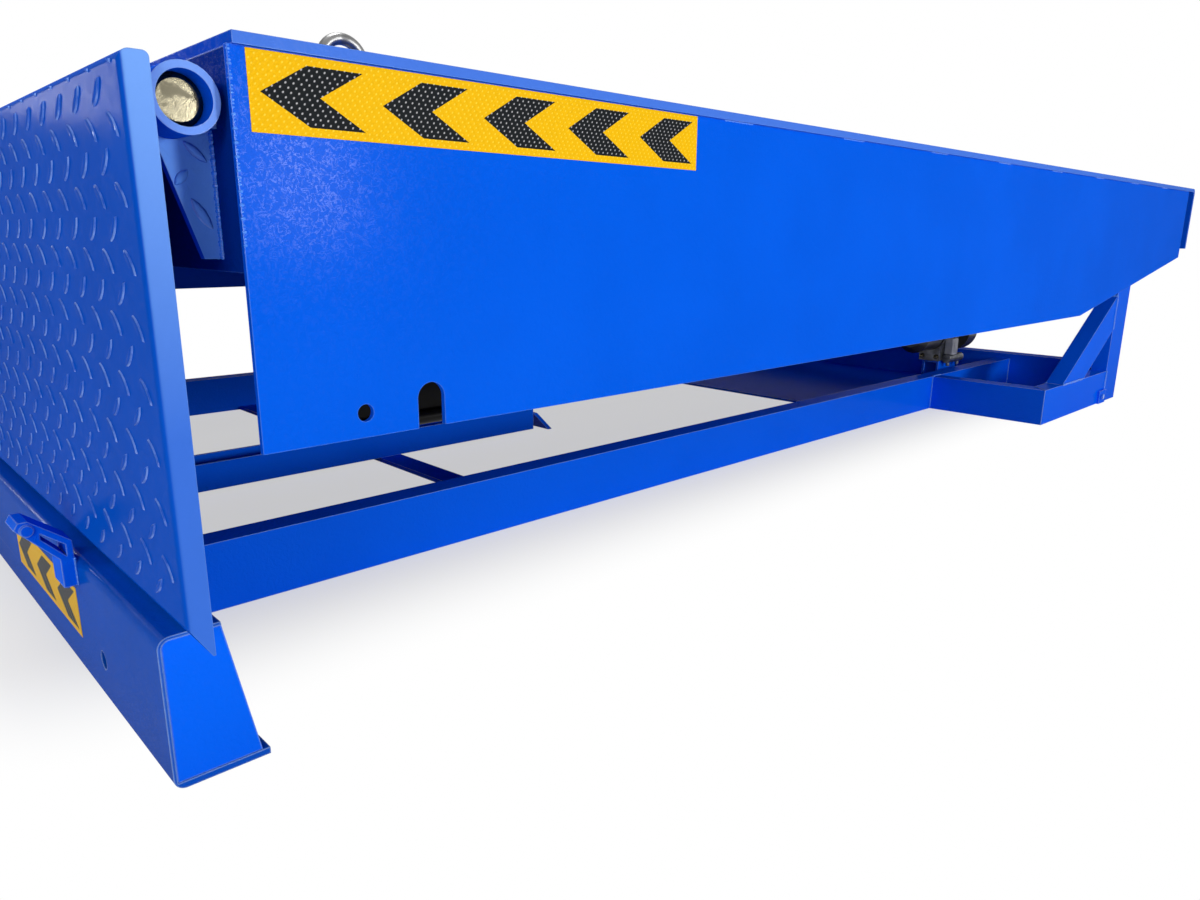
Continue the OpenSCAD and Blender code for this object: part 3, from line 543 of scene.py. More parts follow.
class Coat(Enum):
    """The finishes of the leveler's surfaces."""

    PANEL = PaintFinish("panel_enamel")
    # A brighter copy of the enamel for the frame's tubes: painted light where the lamps reach them less.
    TUBE = PaintFinish("tube_painted_light_enamel", (0.0014, 0.135, 0.97), (0.0012, 0.127, 0.93), gloss=0.05, **EDGE_HIGHLIGHT)
    # A darker copy of the enamel for the front beam: painted shade.
    BEAM_PAINTED_SHADE = PaintFinish("beam_painted_shade_enamel", (0.0012, 0.088, 0.56), (0.0010, 0.078, 0.50), gloss=0.10, **EDGE_HIGHLIGHT)
    # A darker copy of the enamel for the header behind the lip: painted shade of the recess.
    RECESS_PAINTED_SHADE = PaintFinish("recess_painted_shade_enamel", (0.0005, 0.032, 0.27), (0.0004, 0.028, 0.24), gloss=0.01)
    # A darker copy of the enamel for the deck plate and apron, painted shade, with a painted highlight on
    # their sideways faces.
    ROLLED_PAINTED_SHADE = PaintFinish("rolled_plate_painted_shade_enamel", (0.0010, 0.082, 0.61), (0.0009, 0.075, 0.56), side_highlight_share=0.36,
                         peel=110.0, peel_depth=0.0005)
    # A darker copy of the enamel for the lip, painted shade, with a painted highlight on its sides.
    FLAP_PAINTED_SHADE = PaintFinish("lip_painted_shade_enamel", LIP_PAINTED_SHADE_BLUE, LIP_PAINTED_SHADE_DEEP, cut=(0.20, 0.42, 0.95), side_highlight_share=0.85, gloss=0.05,
                       vein_gloss=0.03, peel=60.0, peel_depth=0.0006)
    # Painted highlight over the whole of the gussets' sideways faces.
    GUSSET = PaintFinish("gusset_painted_highlight_enamel", cut=(0.17, 0.42, 1.0), side_highlight_share=1.0, gloss=0.04, peel=110.0)
    # Painted highlight on the knuckles' ends.
    KNUCKLE_PAINTED_HIGHLIGHT = PaintFinish("knuckle_painted_highlight_enamel", cut=(0.24, 0.43, 0.92), side_highlight_share=0.75)
    # The lugs take the lip's darker copy of the blue: painted shade.
    LUG = PaintFinish("tread_lug_painted_shade_enamel", LIP_PAINTED_SHADE_BLUE, LIP_PAINTED_SHADE_DEEP, gloss=0.13, **LUG_SKIN)
    # A lighter colour around each lug's foot: painted highlight, broken up by a fine change of tone.
    LUG_RIM_PAINTED_HIGHLIGHT = PaintFinish("tread_rim_painted_highlight_enamel", (0.22, 0.39, 0.90), (0.02, 0.13, 0.68), gloss=0.3, cloud=90.0,
                          **LUG_SKIN)
    # A lighter copy of the enamel for the beads and screw heads: painted highlight.
    WELD = PaintFinish("weld_painted_highlight_enamel", (0.05, 0.25, 0.90), (0.02, 0.19, 0.85), gloss=0.3, shine=0.5,
                       peel=260.0, peel_depth=0.0005, edge_radius=0.001)
    ZINC = MetalFinish("zinc_plate", (0.18, 0.163, 0.112), (0.045, 0.041, 0.029), 0.12, 0.30, broad=75.0)
    STEEL = MetalFinish("forged_steel", (0.24, 0.24, 0.24), (0.12, 0.12, 0.12), 0.30, 0.5)
    CAST = MetalFinish("machined_block", (0.20, 0.21, 0.22), (0.12, 0.125, 0.13), 0.35, 0.5)
    ENAMEL = MetalFinish("black_motor_enamel", (0.018, 0.018, 0.020), (0.028, 0.028, 0.03), 0.28, 0.4,
                         metallic=0.0)
    GUARD = MetalFinish("guard_black", (0.003, 0.003, 0.0035), (0.005, 0.005, 0.005), 0.3, 0.4,
                        metallic=0.0, shine=0.08)
    RESIN = MetalFinish("grey_resin", (0.45, 0.46, 0.47), (0.36, 0.37, 0.38), 0.45, 0.6, metallic=0.0)
    # The second colour of each film is a painted highlight on the dimples.
    FILM_YELLOW = FilmFinish("film_yellow", (0.84, 0.47, 0.001), (1.0, 0.74, 0.07), 0.6)
    FILM_BLACK = FilmFinish("film_black", (0.007, 0.009, 0.011), (0.52, 0.52, 0.54), 0.85)


class Workshop:
    """Holds the materials and makes finished pieces."""

    def __init__(self) -> None:
        """Makes every material once."""
        effects = Effects()
        self.materials = {coat: coat.value.material(effects) for coat in Coat}

    def paint(self, node: str, coat: Coat) -> None:
        """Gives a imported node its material.

        Args:
            node: Name of the node.
            coat: Its finish.
        """
        for slot in frame["nodes"][node].material_slots:
            slot.material = self.materials[coat]
        log.info("node %s: %s", node, coat.value.name)

    def piece(self, name: str, bm: bmesh.types.BMesh, body: Body, slot: Slot, *coats: Coat,
              crease: float = 40.0) -> bpy.types.Object:
        """Turns a bmesh into a finished piece that rides on a body.

        Args:
            name: Name of the piece.
            bm: Its shape, which is freed here.
            body: The body it rides on.
            slot: Not used.
            *coats: Its finishes, in the order of its material numbers.
            crease: Angle in degrees above which an edge stays sharp.

        Returns:
            The new object.
        """
        bmesh.ops.recalc_face_normals(bm, faces=bm.faces)
        mesh = bpy.data.meshes.new(name)
        bm.to_mesh(mesh)
        bm.free()
        for coat in coats:
            mesh.materials.append(self.materials[coat])
        mesh.shade_smooth()
        mesh.set_sharp_from_angle(angle=math.radians(crease))
        made = bpy.data.objects.new(name, mesh)
        bpy.context.scene.collection.objects.link(made)
        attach(made, body.value)
        log.info("piece %s: %d faces", name, len(mesh.polygons))
        return made


def turned_about(point: Vector, axis: str, angle: float) -> Matrix:
    """Gives a turn about an axis through a point.

    Args:
        point: A point on the axis.
        axis: The axis, X, Y or Z.
        angle: The angle in radians.

    Returns:
        The matrix of the turn.
    """
    return Matrix.Translation(point) @ Matrix.Rotation(angle, 4, axis)


def pour(part: bmesh.types.BMesh, bm: bmesh.types.BMesh) -> None:
    """Adds one mesh to another and frees it.

    Args:
        part: The mesh to add.
        bm: The mesh that gets it.
    """
    mould = bpy.data.meshes.new("mould")
    part.to_mesh(mould)
    part.free()
    bm.from_mesh(mould)
    bpy.data.meshes.remove(mould)


def side_faces(node: str, both_ways: bool = True) -> list[float]:
    """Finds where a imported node's faces look sideways.

    Args:
        node: Name of the node.
        both_ways: Whether faces that look to the left count too.

    Returns:
        The x of each such face, in rising order.
    """
    faces = frame["nodes"][node].data.polygons
    return sorted({
        round(face.center.x, 5) for face in faces
        if face.normal.x > SIDEWAYS or both_ways and face.normal.x < -SIDEWAYS
    })


def hexagon(
    bm: bmesh.types.BMesh, place: Matrix, flats: float, height: float, round_share: float = 0.06
) -> None:
    """Makes a hexagonal head with rounded edges.

    Args:
        bm: The mesh that gets it.
        place: Where its foot is, with its axis along z.
        flats: Its width across flats.
        height: Its height.
        round_share: The round of its edges as a share of its width.
    """
    at = place @ Matrix.Translation((0.0, 0.0, height / 2))
    made = bmesh.ops.create_cone(
        bm, cap_ends=True, segments=6, radius1=flats / math.sqrt(3), radius2=flats / math.sqrt(3),
        depth=height, matrix=at,
    )["verts"]
    edges = list({edge for vert in made for edge in vert.link_edges})
    bmesh.ops.bevel(
        bm, geom=edges, offset=flats * round_share, affect="EDGES", segments=2, profile=0.5, material=-1
    )


@dataclass
class TreadPattern:
    """Lens-shaped lugs rolled into a plate, leaning one way and the other in alternate rows."""

    length: float = 0.026
    width: float = 0.0074
    height: float = 0.0019
    sunk: float = 0.0004
    across: float = 0.049
    between_rows: float = 0.0215
    lean: float = math.radians(42)
    sides: int = 12
    steps: tuple[Point, ...] = ((0.90, 0.78, 0.50), (0.66, 0.18, 1.0))
    pointed: float = 0.6

    # The second finish paints a highlight around each lug's foot.
    COATS: ClassVar[tuple[Coat, Coat]] = (Coat.LUG, Coat.LUG_RIM_PAINTED_HIGHLIGHT)
    CREASE: ClassVar[float] = 60.0

    def lug(self, bm: bmesh.types.BMesh, x: float, y: float, lean: float) -> None:
        """Raises one lug on the plane z = 0.

        Args:
            bm: The mesh that gets the lug.
            x: Place of its middle along the row.
            y: Place of its middle across the rows.
            lean: Its angle to the row.
        """
        verts = bmesh.ops.create_circle(bm, cap_ends=True, segments=self.sides, radius=1.0)["verts"]
        faces = list(verts[0].link_faces)
        for vert in verts:
            vert.co.x *= self.length / 2
            vert.co.y *= abs(vert.co.y) ** self.pointed * self.width / 2
            vert.co.z = -self.sunk
        kept_long, kept_wide = 1.0, 1.0
        for long, wide, rise in self.steps:
            outermost = kept_long == 1.0
            grown = bmesh.ops.extrude_face_region(bm, geom=faces, use_keep_orig=outermost)["geom"]
            top = [item for item in grown if isinstance(item, bmesh.types.BMVert)]
            if outermost:
                self._mark_rim(top)
            faces = [item for item in grown if isinstance(item, bmesh.types.BMFace)]
            bmesh.ops.scale(bm, vec=(long / kept_long, wide / kept_wide, 1.0), verts=top)
            for vert in top:
                vert.co.z = rise * self.height
            kept_long, kept_wide = long, wide
            verts += top
        place = Matrix.Translation((x, y, 0.0)) @ Matrix.Rotation(lean, 4, "Z")
        bmesh.ops.transform(bm, matrix=place, verts=verts)

    @staticmethod
    def _mark_rim(top: list[bmesh.types.BMVert]) -> None:
        """Gives the faces around a lug's foot its second material, a lighter enamel that paints a highlight
        there.

        Args:
            top: The corners of the lug's first step.
        """
        inside = set(top)
        for vert in top:
            for near in vert.link_faces:
                if not inside.issuperset(near.verts):
                    near.material_index = 1

    def field(self, bm: bmesh.types.BMesh, first: tuple[float, float], second: tuple[float, float],
              columns: int, rows: int, lean: float) -> None:
        """Fills a rectangle with rows of lugs, towards -x and -y.

        Args:
            bm: The mesh that gets the lugs.
            first: Place of the first lug of the first row.
            second: Place of the first lug of the second row.
            columns: Lugs in a row.
            rows: Number of rows.
            lean: Angle of the first row's lugs to the row.
        """
        for (x, y), turn, count in ((first, lean, math.ceil(rows / 2)), (second, -lean, rows // 2)):
            part = bmesh.new()
            self.lug(part, x, y, turn)
            self._repeat(part, Vector((-self.across, 0.0, 0.0)), columns)
            self._repeat(part, Vector((0.0, -2 * self.between_rows, 0.0)), count)
            pour(part, bm)

    @staticmethod
    def _repeat(bm: bmesh.types.BMesh, step: Vector, count: int) -> None:
        """Repeats all that a mesh holds along a straight line.

        Args:
            bm: The mesh.
            step: The way from one copy to the next.
            count: How many there are in the end.
        """
        mould = bpy.data.meshes.new("tread_mould")
        bm.to_mesh(mould)
        for _ in range(1, count):
            mould.transform(Matrix.Translation(step))
            bm.from_mesh(mould)
        bpy.data.meshes.remove(mould)


@dataclass
class HazardTape:
    """Yellow reflective tape with thick black chevrons that all point to its start."""

    chevrons: int
    height: float = 0.053
    film: float = 0.00035
    ink: float = 0.00012
    pitch: float = 0.093
    lead: float = 0.008
    arm: float = 0.0345
    stroke: float = 0.043
    half_rise: float = 0.0203

    COATS: ClassVar[tuple[Coat, Coat]] = (Coat.FILM_YELLOW, Coat.FILM_BLACK)

    @property
    def length(self) -> float:
        """Length of the tape."""
        return 2 * self.lead + (self.chevrons - 1) * self.pitch + self.arm + self.stroke

    def build(self, place: Matrix) -> bmesh.types.BMesh:
        """Lays the tape on a surface.

        Args:
            place: The transform from the tape's length, height and normal; its start is at mid height.

        Returns:
            The tape's mesh, with the film as material 0 and the chevrons as material 1.
        """
        bm = bmesh.new()
        size = Matrix.Diagonal((self.length, self.height, self.film, 1.0))
        middle = Matrix.Translation((self.length / 2, 0.0, self.film / 2))
        bmesh.ops.create_cube(bm, size=1.0, matrix=middle @ size)
        for index in range(self.chevrons):
            self._chevron(bm, self.lead + index * self.pitch)
        bmesh.ops.transform(bm, matrix=place, verts=bm.verts)
        return bm

    def _chevron(self, bm: bmesh.types.BMesh, tip: float) -> None:
        """Raises one chevron on the film.

        Args:
            bm: The tape's mesh.
            tip: Place of the chevron's tip along the tape.
        """
        outline = (
            (tip, 0.0),
            (tip + self.arm, -self.half_rise),
            (tip + self.arm + self.stroke, -self.half_rise),
            (tip + self.stroke, 0.0),
            (tip + self.arm + self.stroke, self.half_rise),
            (tip + self.arm, self.half_rise),
        )
        low = self.film / 2
        face = bm.faces.new([bm.verts.new((u, v, low)) for u, v in outline])
        face.material_index = 1
        grown = bmesh.ops.extrude_face_region(bm, geom=[face], use_keep_orig=True)["geom"]
        top = [item for item in grown if isinstance(item, bmesh.types.BMVert)]
        bmesh.ops.translate(bm, verts=top, vec=(0.0, 0.0, self.film / 2 + self.ink))
        for vert in top:
            for near in vert.link_faces:
                near.material_index = 1


@dataclass
class WeldBead:
    """A seam of overlapping drops along a straight joint."""

    radius: float = 0.0024
    overlap: float = 0.9
    waver: float = 0.25
    beat: tuple[float, float] = (2.4, 0.7)
    squash: float = 0.8

    def lay(self, bm: bmesh.types.BMesh, start: Vector, end: Vector) -> None:
        """Lays the drops.

        Args:
            bm: The mesh that gets them.
            start: Where the seam starts.
            end: Where the seam ends.
        """
        span = end - start
        count = max(2, round(span.length / (self.radius * self.overlap)))
        turn = span.to_track_quat("Z", "Y").to_matrix().to_4x4()
        fast, slow = self.beat
        drop = bmesh.new()
        bmesh.ops.create_uvsphere(drop, u_segments=8, v_segments=5, radius=1.0)
        mould = bpy.data.meshes.new("drop_mould")
        for index in range(count):
            size = self.radius * (1.0 + self.waver * math.sin(index * fast) * math.cos(index * slow))
            at = Matrix.Translation(start + span * ((index + 0.5) / count))
            drop.to_mesh(mould)
            mould.transform(at @ turn @ Matrix.Diagonal((size, size, size * self.squash, 1.0)))
            bm.from_mesh(mould)
        bpy.data.meshes.remove(mould)
        drop.free()

    def upright(self, bm: bmesh.types.BMesh, x: float, y: float, low: float, high: float) -> None:
        """Lays the drops of an upright seam, from the height low to the height high."""
        self.lay(bm, Vector((x, y, low)), Vector((x, y, high)))


@dataclass
class FloorFrame:
    """The welded frame on the floor, with the tapes on its front beam."""

    shop: Workshop
    tape_end_inset: float = 0.253
    tape_low: float = 0.044
    foot: float = 0.005
    fine_bead: WeldBead = field(default_factory=lambda: WeldBead(radius=0.0014, overlap=1.0))
    rail_bead: WeldBead = field(default_factory=lambda: WeldBead(radius=0.003, overlap=1.1))
    tab_screw_flats: float = 0.013
    tab_screw_h: float = 0.006
    tab_screw_in: float = 0.016
    tab_screw_up: float = 0.019
    blob: WeldBead = field(default_factory=lambda: WeldBead(radius=0.006, overlap=0.9))
    keeper_bead: WeldBead = field(default_factory=lambda: WeldBead(radius=0.0025))
    brace_seam: float = 0.09
    toe_seam: float = 0.14
    rail_nose_back: float = 0.02
    rail_nose_up: float = 0.012
    keeper_step: float = 0.003
    keeper_seam_in: float = 0.006
    keeper_seam_out: float = 0.008

    COATS: ClassVar[dict[str, Coat]] = {
        # The front beam takes a darker copy of the enamel: painted shade.
        "front_beam": Coat.BEAM_PAINTED_SHADE,
        "rear_hinge_pins": Coat.ZINC,
        "prop_pivot_pin": Coat.ZINC,
    }

    def dress(self) -> None:
        """Gives each node of the frame its finish."""
        for node in frame["record"]["behaviour"]["bodies"][Body.BASE.value]:
            if node not in PowerPack.COATS:
                # The other members take the brighter copy of the enamel: painted light.
                self.shop.paint(node, self.COATS.get(node, Coat.TUBE))

    def build(self) -> None:
        """Makes the tapes, the welds and the screws of the foot tabs."""
        self._tapes()
        self._welds()
        self._tab_screws()

    def _tapes(self) -> None:
        """Sticks a tape on each half of the beam's front, with its chevrons pointing to the middle."""
        low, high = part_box("front_beam")
        tape = HazardTape(chevrons=3)
        for side in Side:
            start = side.value * (high.x - self.tape_end_inset - tape.length)
            facing = Facing.FRONT if side is Side.RIGHT else Facing.FRONT_MIRRORED
            at = Vector((start, low.y, self.tape_low + tape.height / 2))
            bm = tape.build(facing.place(at))
            self.shop.piece(f"beam_tape_{side.tag}", bm, Body.BASE, Slot.FILM, *tape.COATS)

    def _tab_screws(self) -> None:
        """Puts a painted screw on the tab at each post's foot."""
        low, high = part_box("post_foot_tabs")
        bm = bmesh.new()
        for side in Side:
            at = Vector((side.value * high.x, low.y + self.tab_screw_in, self.tab_screw_up))
            place = turned_about(at, "Y", side.value * math.radians(90))
            hexagon(bm, place, self.tab_screw_flats, self.tab_screw_h)
        self.shop.piece("foot_tab_screws", bm, Body.BASE, Slot.PAINT, Coat.WELD)

    def _welds(self) -> None:
        """Lays the seams that join the frame's members."""
        bm = bmesh.new()
        for side in Side:
            self._corner_seams(bm, side)
            self._post_seams(bm, side)
            self._rail_seams(bm, side)
            self._keeper_seams(bm, side)
        self.shop.piece("frame_welds", bm, Body.BASE, Slot.PAINT, Coat.WELD)

    def _corner_seams(self, bm: bmesh.types.BMesh, side: Side) -> None:
        """Joins an outrigger's cross member to the side rail and to its side member.

        Args:
            bm: The mesh of the welds.
            side: The side it lies on.
        """
        low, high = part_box(f"outrigger_front_{side.tag}")
        near, far = side.inner(low, high), side.outer(low, high)
        inner = far - side.value * (high.y - low.y)
        for y in (low.y, high.y):
            self.rail_bead.upright(bm, near, y, self.foot, high.z)
        self.fine_bead.lay(bm, Vector((far, low.y, high.z)), Vector((inner, high.y, high.z)))
        self.rail_bead.lay(bm, Vector((near, low.y, high.z)), Vector((near, high.y, high.z)))

    def _post_seams(self, bm: bmesh.types.BMesh, side: Side) -> None:
        """Joins a post to its side member and its brace.

        Args:
            bm: The mesh of the welds.
            side: The side it lies on.
        """
        low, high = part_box(f"rear_post_{side.tag}")
        member_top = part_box(f"outrigger_side_{side.tag}")[1].z
        brace_low, brace_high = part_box(f"post_brace_{side.tag}")
        top = brace_high.z
        self.rail_bead.upright(bm, side.outer(low, high), low.y, self.foot, member_top)
        for x in (low.x, high.x):
            self.rail_bead.upright(bm, x, low.y, top - self.brace_seam, top)
            toe = Vector((x, brace_low.y, brace_low.z))
            self.rail_bead.lay(bm, toe, toe + Vector((0.0, self.toe_seam, 0.0)))
        self.blob.lay(bm, Vector((low.x, low.y, top)), Vector((high.x, low.y, top)))

    def _rail_seams(self, bm: bmesh.types.BMesh, side: Side) -> None:
        """Joins a side rail to the front beam's back and to the rear cross beam.

        Args:
            bm: The mesh of the welds.
            side: The side it lies on.
        """
        low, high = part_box(f"side_rail_{side.tag}")
        for x in (low.x, high.x):
            foot = Vector((x, low.y + self.rail_nose_back, self.rail_nose_up))
            self.rail_bead.lay(bm, foot, Vector((x, low.y, high.z)))
            self.rail_bead.upright(bm, x, high.y, self.foot, high.z)
        self.rail_bead.lay(bm, Vector((low.x, low.y, high.z)), Vector((high.x, low.y, high.z)))

    def _keeper_seams(self, bm: bmesh.types.BMesh, side: Side) -> None:
        """Joins a keeper's legs to the beam's front.

        Args:
            bm: The mesh of the welds.
            side: The side it lies on.
        """
        low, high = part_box(f"lip_keeper_{side.tag}")
        beam_low, beam_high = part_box("front_beam")
        step = self.keeper_step
        legs = (low.x, high.x - step) if side is Side.RIGHT else (low.x + step, high.x)
        for x in legs:
            self.fine_bead.upright(bm, x, beam_low.y, low.z, beam_high.z)
        y = beam_low.y - self.keeper_seam_out
        start = Vector((low.x + self.keeper_seam_in, y, low.z))
        self.keeper_bead.lay(bm, start, Vector((high.x - self.keeper_seam_in, y, low.z)))


@dataclass
class PowerPack:
    """The motor, valve block, tank and coil, with their screws."""

    shop: Workshop
    screw_flats: float = 0.010
    screw_head: float = 0.0065
    screw_reach: float = 0.0205
    screw_up: float = 0.012
    washer_d: float = 0.014
    washer_t: float = 0.0016
    nut_flats: float = 0.019
    nut_h: float = 0.009
    rib_w: float = 0.0022
    rib_out: float = 0.003
    rib_share: float = 0.86
    rib_round: float = 0.0006
    rib_count: int = 7
    rib_inset: float = 0.005

    COATS: ClassVar[dict[str, Coat]] = {
        "pump_valve_block": Coat.CAST,
        "pump_motor": Coat.ENAMEL,
        "pump_tank": Coat.ENAMEL,
        "solenoid_coil": Coat.RESIN,
    }

    def dress(self) -> None:
        """Gives the pack's nodes their finishes."""
        for node, coat in self.COATS.items():
            self.shop.paint(node, coat)

    def build(self) -> None:
        """Makes the screws and the coil's ribs and nut."""
        self._screws()
        self._coil_trim()

    def _screws(self) -> None:
        """Puts a washer and a screw in each lower corner of the flange."""
        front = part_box("pump_valve_block")[0].y
        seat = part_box("pump_bracket")[1].z
        motor_low, motor_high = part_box("pump_motor")
        middle = (motor_low.x + motor_high.x) / 2
        bm = bmesh.new()
        for x in (middle - self.screw_reach, middle + self.screw_reach):
            place = turned_about(Vector((x, front, seat + self.screw_up)), "X", math.radians(90))
            washer = place @ Matrix.Translation((0.0, 0.0, self.washer_t / 2))
            bmesh.ops.create_cone(
                bm, cap_ends=True, segments=20, radius1=self.washer_d / 2, radius2=self.washer_d / 2,
                depth=self.washer_t, matrix=washer,
            )
            seat_on = place @ Matrix.Translation((0.0, 0.0, self.washer_t))
            hexagon(bm, seat_on, self.screw_flats, self.screw_head)
        self.shop.piece("flange_screws", bm, Body.BASE, Slot.ZINC, Coat.ZINC)

    def _coil_trim(self) -> None:
        """Puts ribs on the coil's right-hand side and its nut on top."""
        low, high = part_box("solenoid_coil")
        bm = bmesh.new()
        centre = Vector(((low.x + high.x) / 2, (low.y + high.y) / 2, high.z))
        hexagon(bm, Matrix.Translation(centre), self.nut_flats, self.nut_h)
        self.shop.piece("coil_nut", bm, Body.BASE, Slot.ZINC, Coat.ZINC)
        ribs = bmesh.new()
        length = high.y - low.y - 2 * self.rib_inset
        size = Matrix.Diagonal((self.rib_out, self.rib_w, (high.z - low.z) * self.rib_share, 1.0))
        for index in range(self.rib_count):
            y = low.y + self.rib_inset + length * index / (self.rib_count - 1)
            at = Matrix.Translation((high.x, y, (low.z + high.z) / 2))
            made = bmesh.ops.create_cube(ribs, size=1.0, matrix=at @ size)["verts"]
            edges = list({edge for vert in made for edge in vert.link_edges})
            bmesh.ops.bevel(
                ribs, geom=edges, offset=self.rib_round, affect="EDGES", segments=2, profile=0.5, material=-1
            )
        self.shop.piece("coil_ribs", ribs, Body.BASE, Slot.RESIN, Coat.RESIN)


@dataclass
class RampDeck:
    """The hinged deck with its tread, its skirts' tapes and its welds."""

    shop: Workshop
    tape_start: float = 0.009
    tape_low: float = 0.505
    tread_margin: float = 0.022
    tread: TreadPattern = field(default_factory=lambda: TreadPattern(sides=8, steps=((0.7, 0.3, 1.0),)))
    bead: WeldBead = field(default_factory=WeldBead)
    fine_bead: WeldBead = field(default_factory=lambda: WeldBead(radius=0.0018))
    edge_bead: WeldBead = field(default_factory=lambda: WeldBead(radius=0.0014, overlap=1.6, waver=0.45))
    edge_run: float = 0.13
    seam_in: float = 0.001
    nose_back: float = 0.0012
    rear_seam: float = 0.14
    stitch: float = 0.05
    stitch_pitch: float = 0.24
    stitch_front: float = 0.52
    stitch_rear: float = 0.08

    COATS: ClassVar[dict[str, Coat]] = {
        # The deck plate and apron take a darker copy of the enamel (painted shade); the gussets and knuckles
        # carry painted highlights.
        "deck_plate": Coat.ROLLED_PAINTED_SHADE,
        "front_header": Coat.RECESS_PAINTED_SHADE,
        "hinge_gussets": Coat.GUSSET,
        "deck_knuckles": Coat.KNUCKLE_PAINTED_HIGHLIGHT,
        "rear_apron": Coat.ROLLED_PAINTED_SHADE,
        "hinge_pin": Coat.ZINC,
        "lifting_eyes": Coat.STEEL,
        "side_guards": Coat.GUARD,
    }
    GUSSET_LUGS: ClassVar[tuple[tuple[TreadPattern, float, float, float], ...]] = (
        (TreadPattern(length=0.021), -0.0125, 0.0735, math.radians(-42)),
        (TreadPattern(length=0.015), -0.0235, 0.0560, math.radians(48)),
        (TreadPattern(length=0.026, width=0.0085), -0.0120, 0.0315, math.radians(-58)),
    )

    def dress(self) -> None:
        """Gives each node of the deck its finish."""
        for node in frame["record"]["behaviour"]["bodies"][Body.DECK.value]:
            self.shop.paint(node, self.COATS.get(node, Coat.PANEL))

    def build(self) -> None:
        """Makes the tread, the tapes and the welds."""
        self._tapes()
        self._deck_tread()
        self._gusset_tread()
        self._welds()

    def _tapes(self) -> None:
        """Sticks a tape on each skirt, with its chevrons pointing to the front."""
        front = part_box("deck_plate")[0].y
        tape = HazardTape(chevrons=5)
        for side in Side:
            low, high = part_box(f"side_skirt_{side.tag}")
            facing = Facing.RIGHT if side is Side.RIGHT else Facing.LEFT
            at = Vector((side.outer(low, high), front + self.tape_start, self.tape_low + tape.height / 2))
            bm = tape.build(facing.place(at))
            self.shop.piece(f"skirt_tape_{side.tag}", bm, Body.DECK, Slot.FILM, *tape.COATS)

    def _deck_tread(self) -> None:
        """Covers the deck with lugs."""
        low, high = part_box("deck_plate")
        pattern = self.tread
        columns = int((high.x - low.x - 2 * self.tread_margin) / pattern.across)
        rows = int((high.y - low.y - 2 * self.tread_margin) / pattern.between_rows)
        start_x = columns * pattern.across / 2
        start_y = high.y - self.tread_margin
        bm = bmesh.new()
        first = (start_x, start_y)
        second = (start_x - pattern.across / 2, start_y - pattern.between_rows)
        pattern.field(bm, first, second, columns, rows, lean=pattern.lean)
        bmesh.ops.translate(bm, verts=bm.verts, vec=(0.0, 0.0, high.z))
        self.shop.piece("deck_tread", bm, Body.DECK, Slot.PAINT, *self.tread.COATS, crease=self.tread.CREASE)

    def _gusset_tread(self) -> None:
        """Puts three lugs of the cut tread plate on the right-hand face of each gusset."""
        bm = bmesh.new()
        low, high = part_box("hinge_gussets")
        for x in side_faces("hinge_gussets", both_ways=False):
            flat = bmesh.new()
            for pattern, u, v, lean in self.GUSSET_LUGS:
                pattern.lug(flat, u, v, lean)
            place = Facing.RIGHT.place(Vector((x, high.y, low.z)))
            bmesh.ops.transform(flat, matrix=place, verts=flat.verts)
            pour(flat, bm)
        # Both finishes carry painted highlights.
        coats = (Coat.GUSSET, Coat.LUG_RIM_PAINTED_HIGHLIGHT)
        self.shop.piece("gusset_tread", bm, Body.DECK, Slot.PAINT, *coats, crease=TreadPattern.CREASE)

    def _welds(self) -> None:
        """Lays the seams of the header, the gussets and the skirts."""
        bm = bmesh.new()
        deck_low, deck_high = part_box("deck_plate")
        head_low, head_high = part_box("front_header")
        gusset_low, gusset_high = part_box("hinge_gussets")
        for side in Side:
            low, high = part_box(f"side_skirt_{side.tag}")
            inner = side.inner(low, high)
            seam = side.outer(low, high) - side.value * self.seam_in
            self.bead.upright(bm, inner, head_low.y, head_low.z, head_high.z)
            self._stitches(bm, seam, deck_low, deck_high)
            nose = Vector((seam, low.y + self.nose_back, deck_low.z))
            self.edge_bead.lay(bm, nose, nose - Vector((0.0, 0.0, self.edge_run)))
            self.bead.upright(bm, inner, high.y, deck_low.z - self.rear_seam, deck_low.z)
        for x in side_faces("hinge_gussets"):
            self.bead.upright(bm, x, gusset_high.y, gusset_low.z, gusset_high.z)
        self.shop.piece("deck_welds", bm, Body.DECK, Slot.PAINT, Coat.WELD)

    def _stitches(self, bm: bmesh.types.BMesh, x: float, low: Vector, high: Vector) -> None:
        """Lays short seams under the deck plate's edge.

        Args:
            bm: The mesh of the welds.
            x: Where the seams lie, just inside the skirt's outer face.
            low: Lower corner of the deck plate's box.
            high: Upper corner of the deck plate's box.
        """
        y = low.y + self.stitch_front
        while y + self.stitch < high.y - self.stitch_rear:
            self.fine_bead.lay(bm, Vector((x, y, low.z)), Vector((x, y + self.stitch, low.z)))
            y += self.stitch_pitch


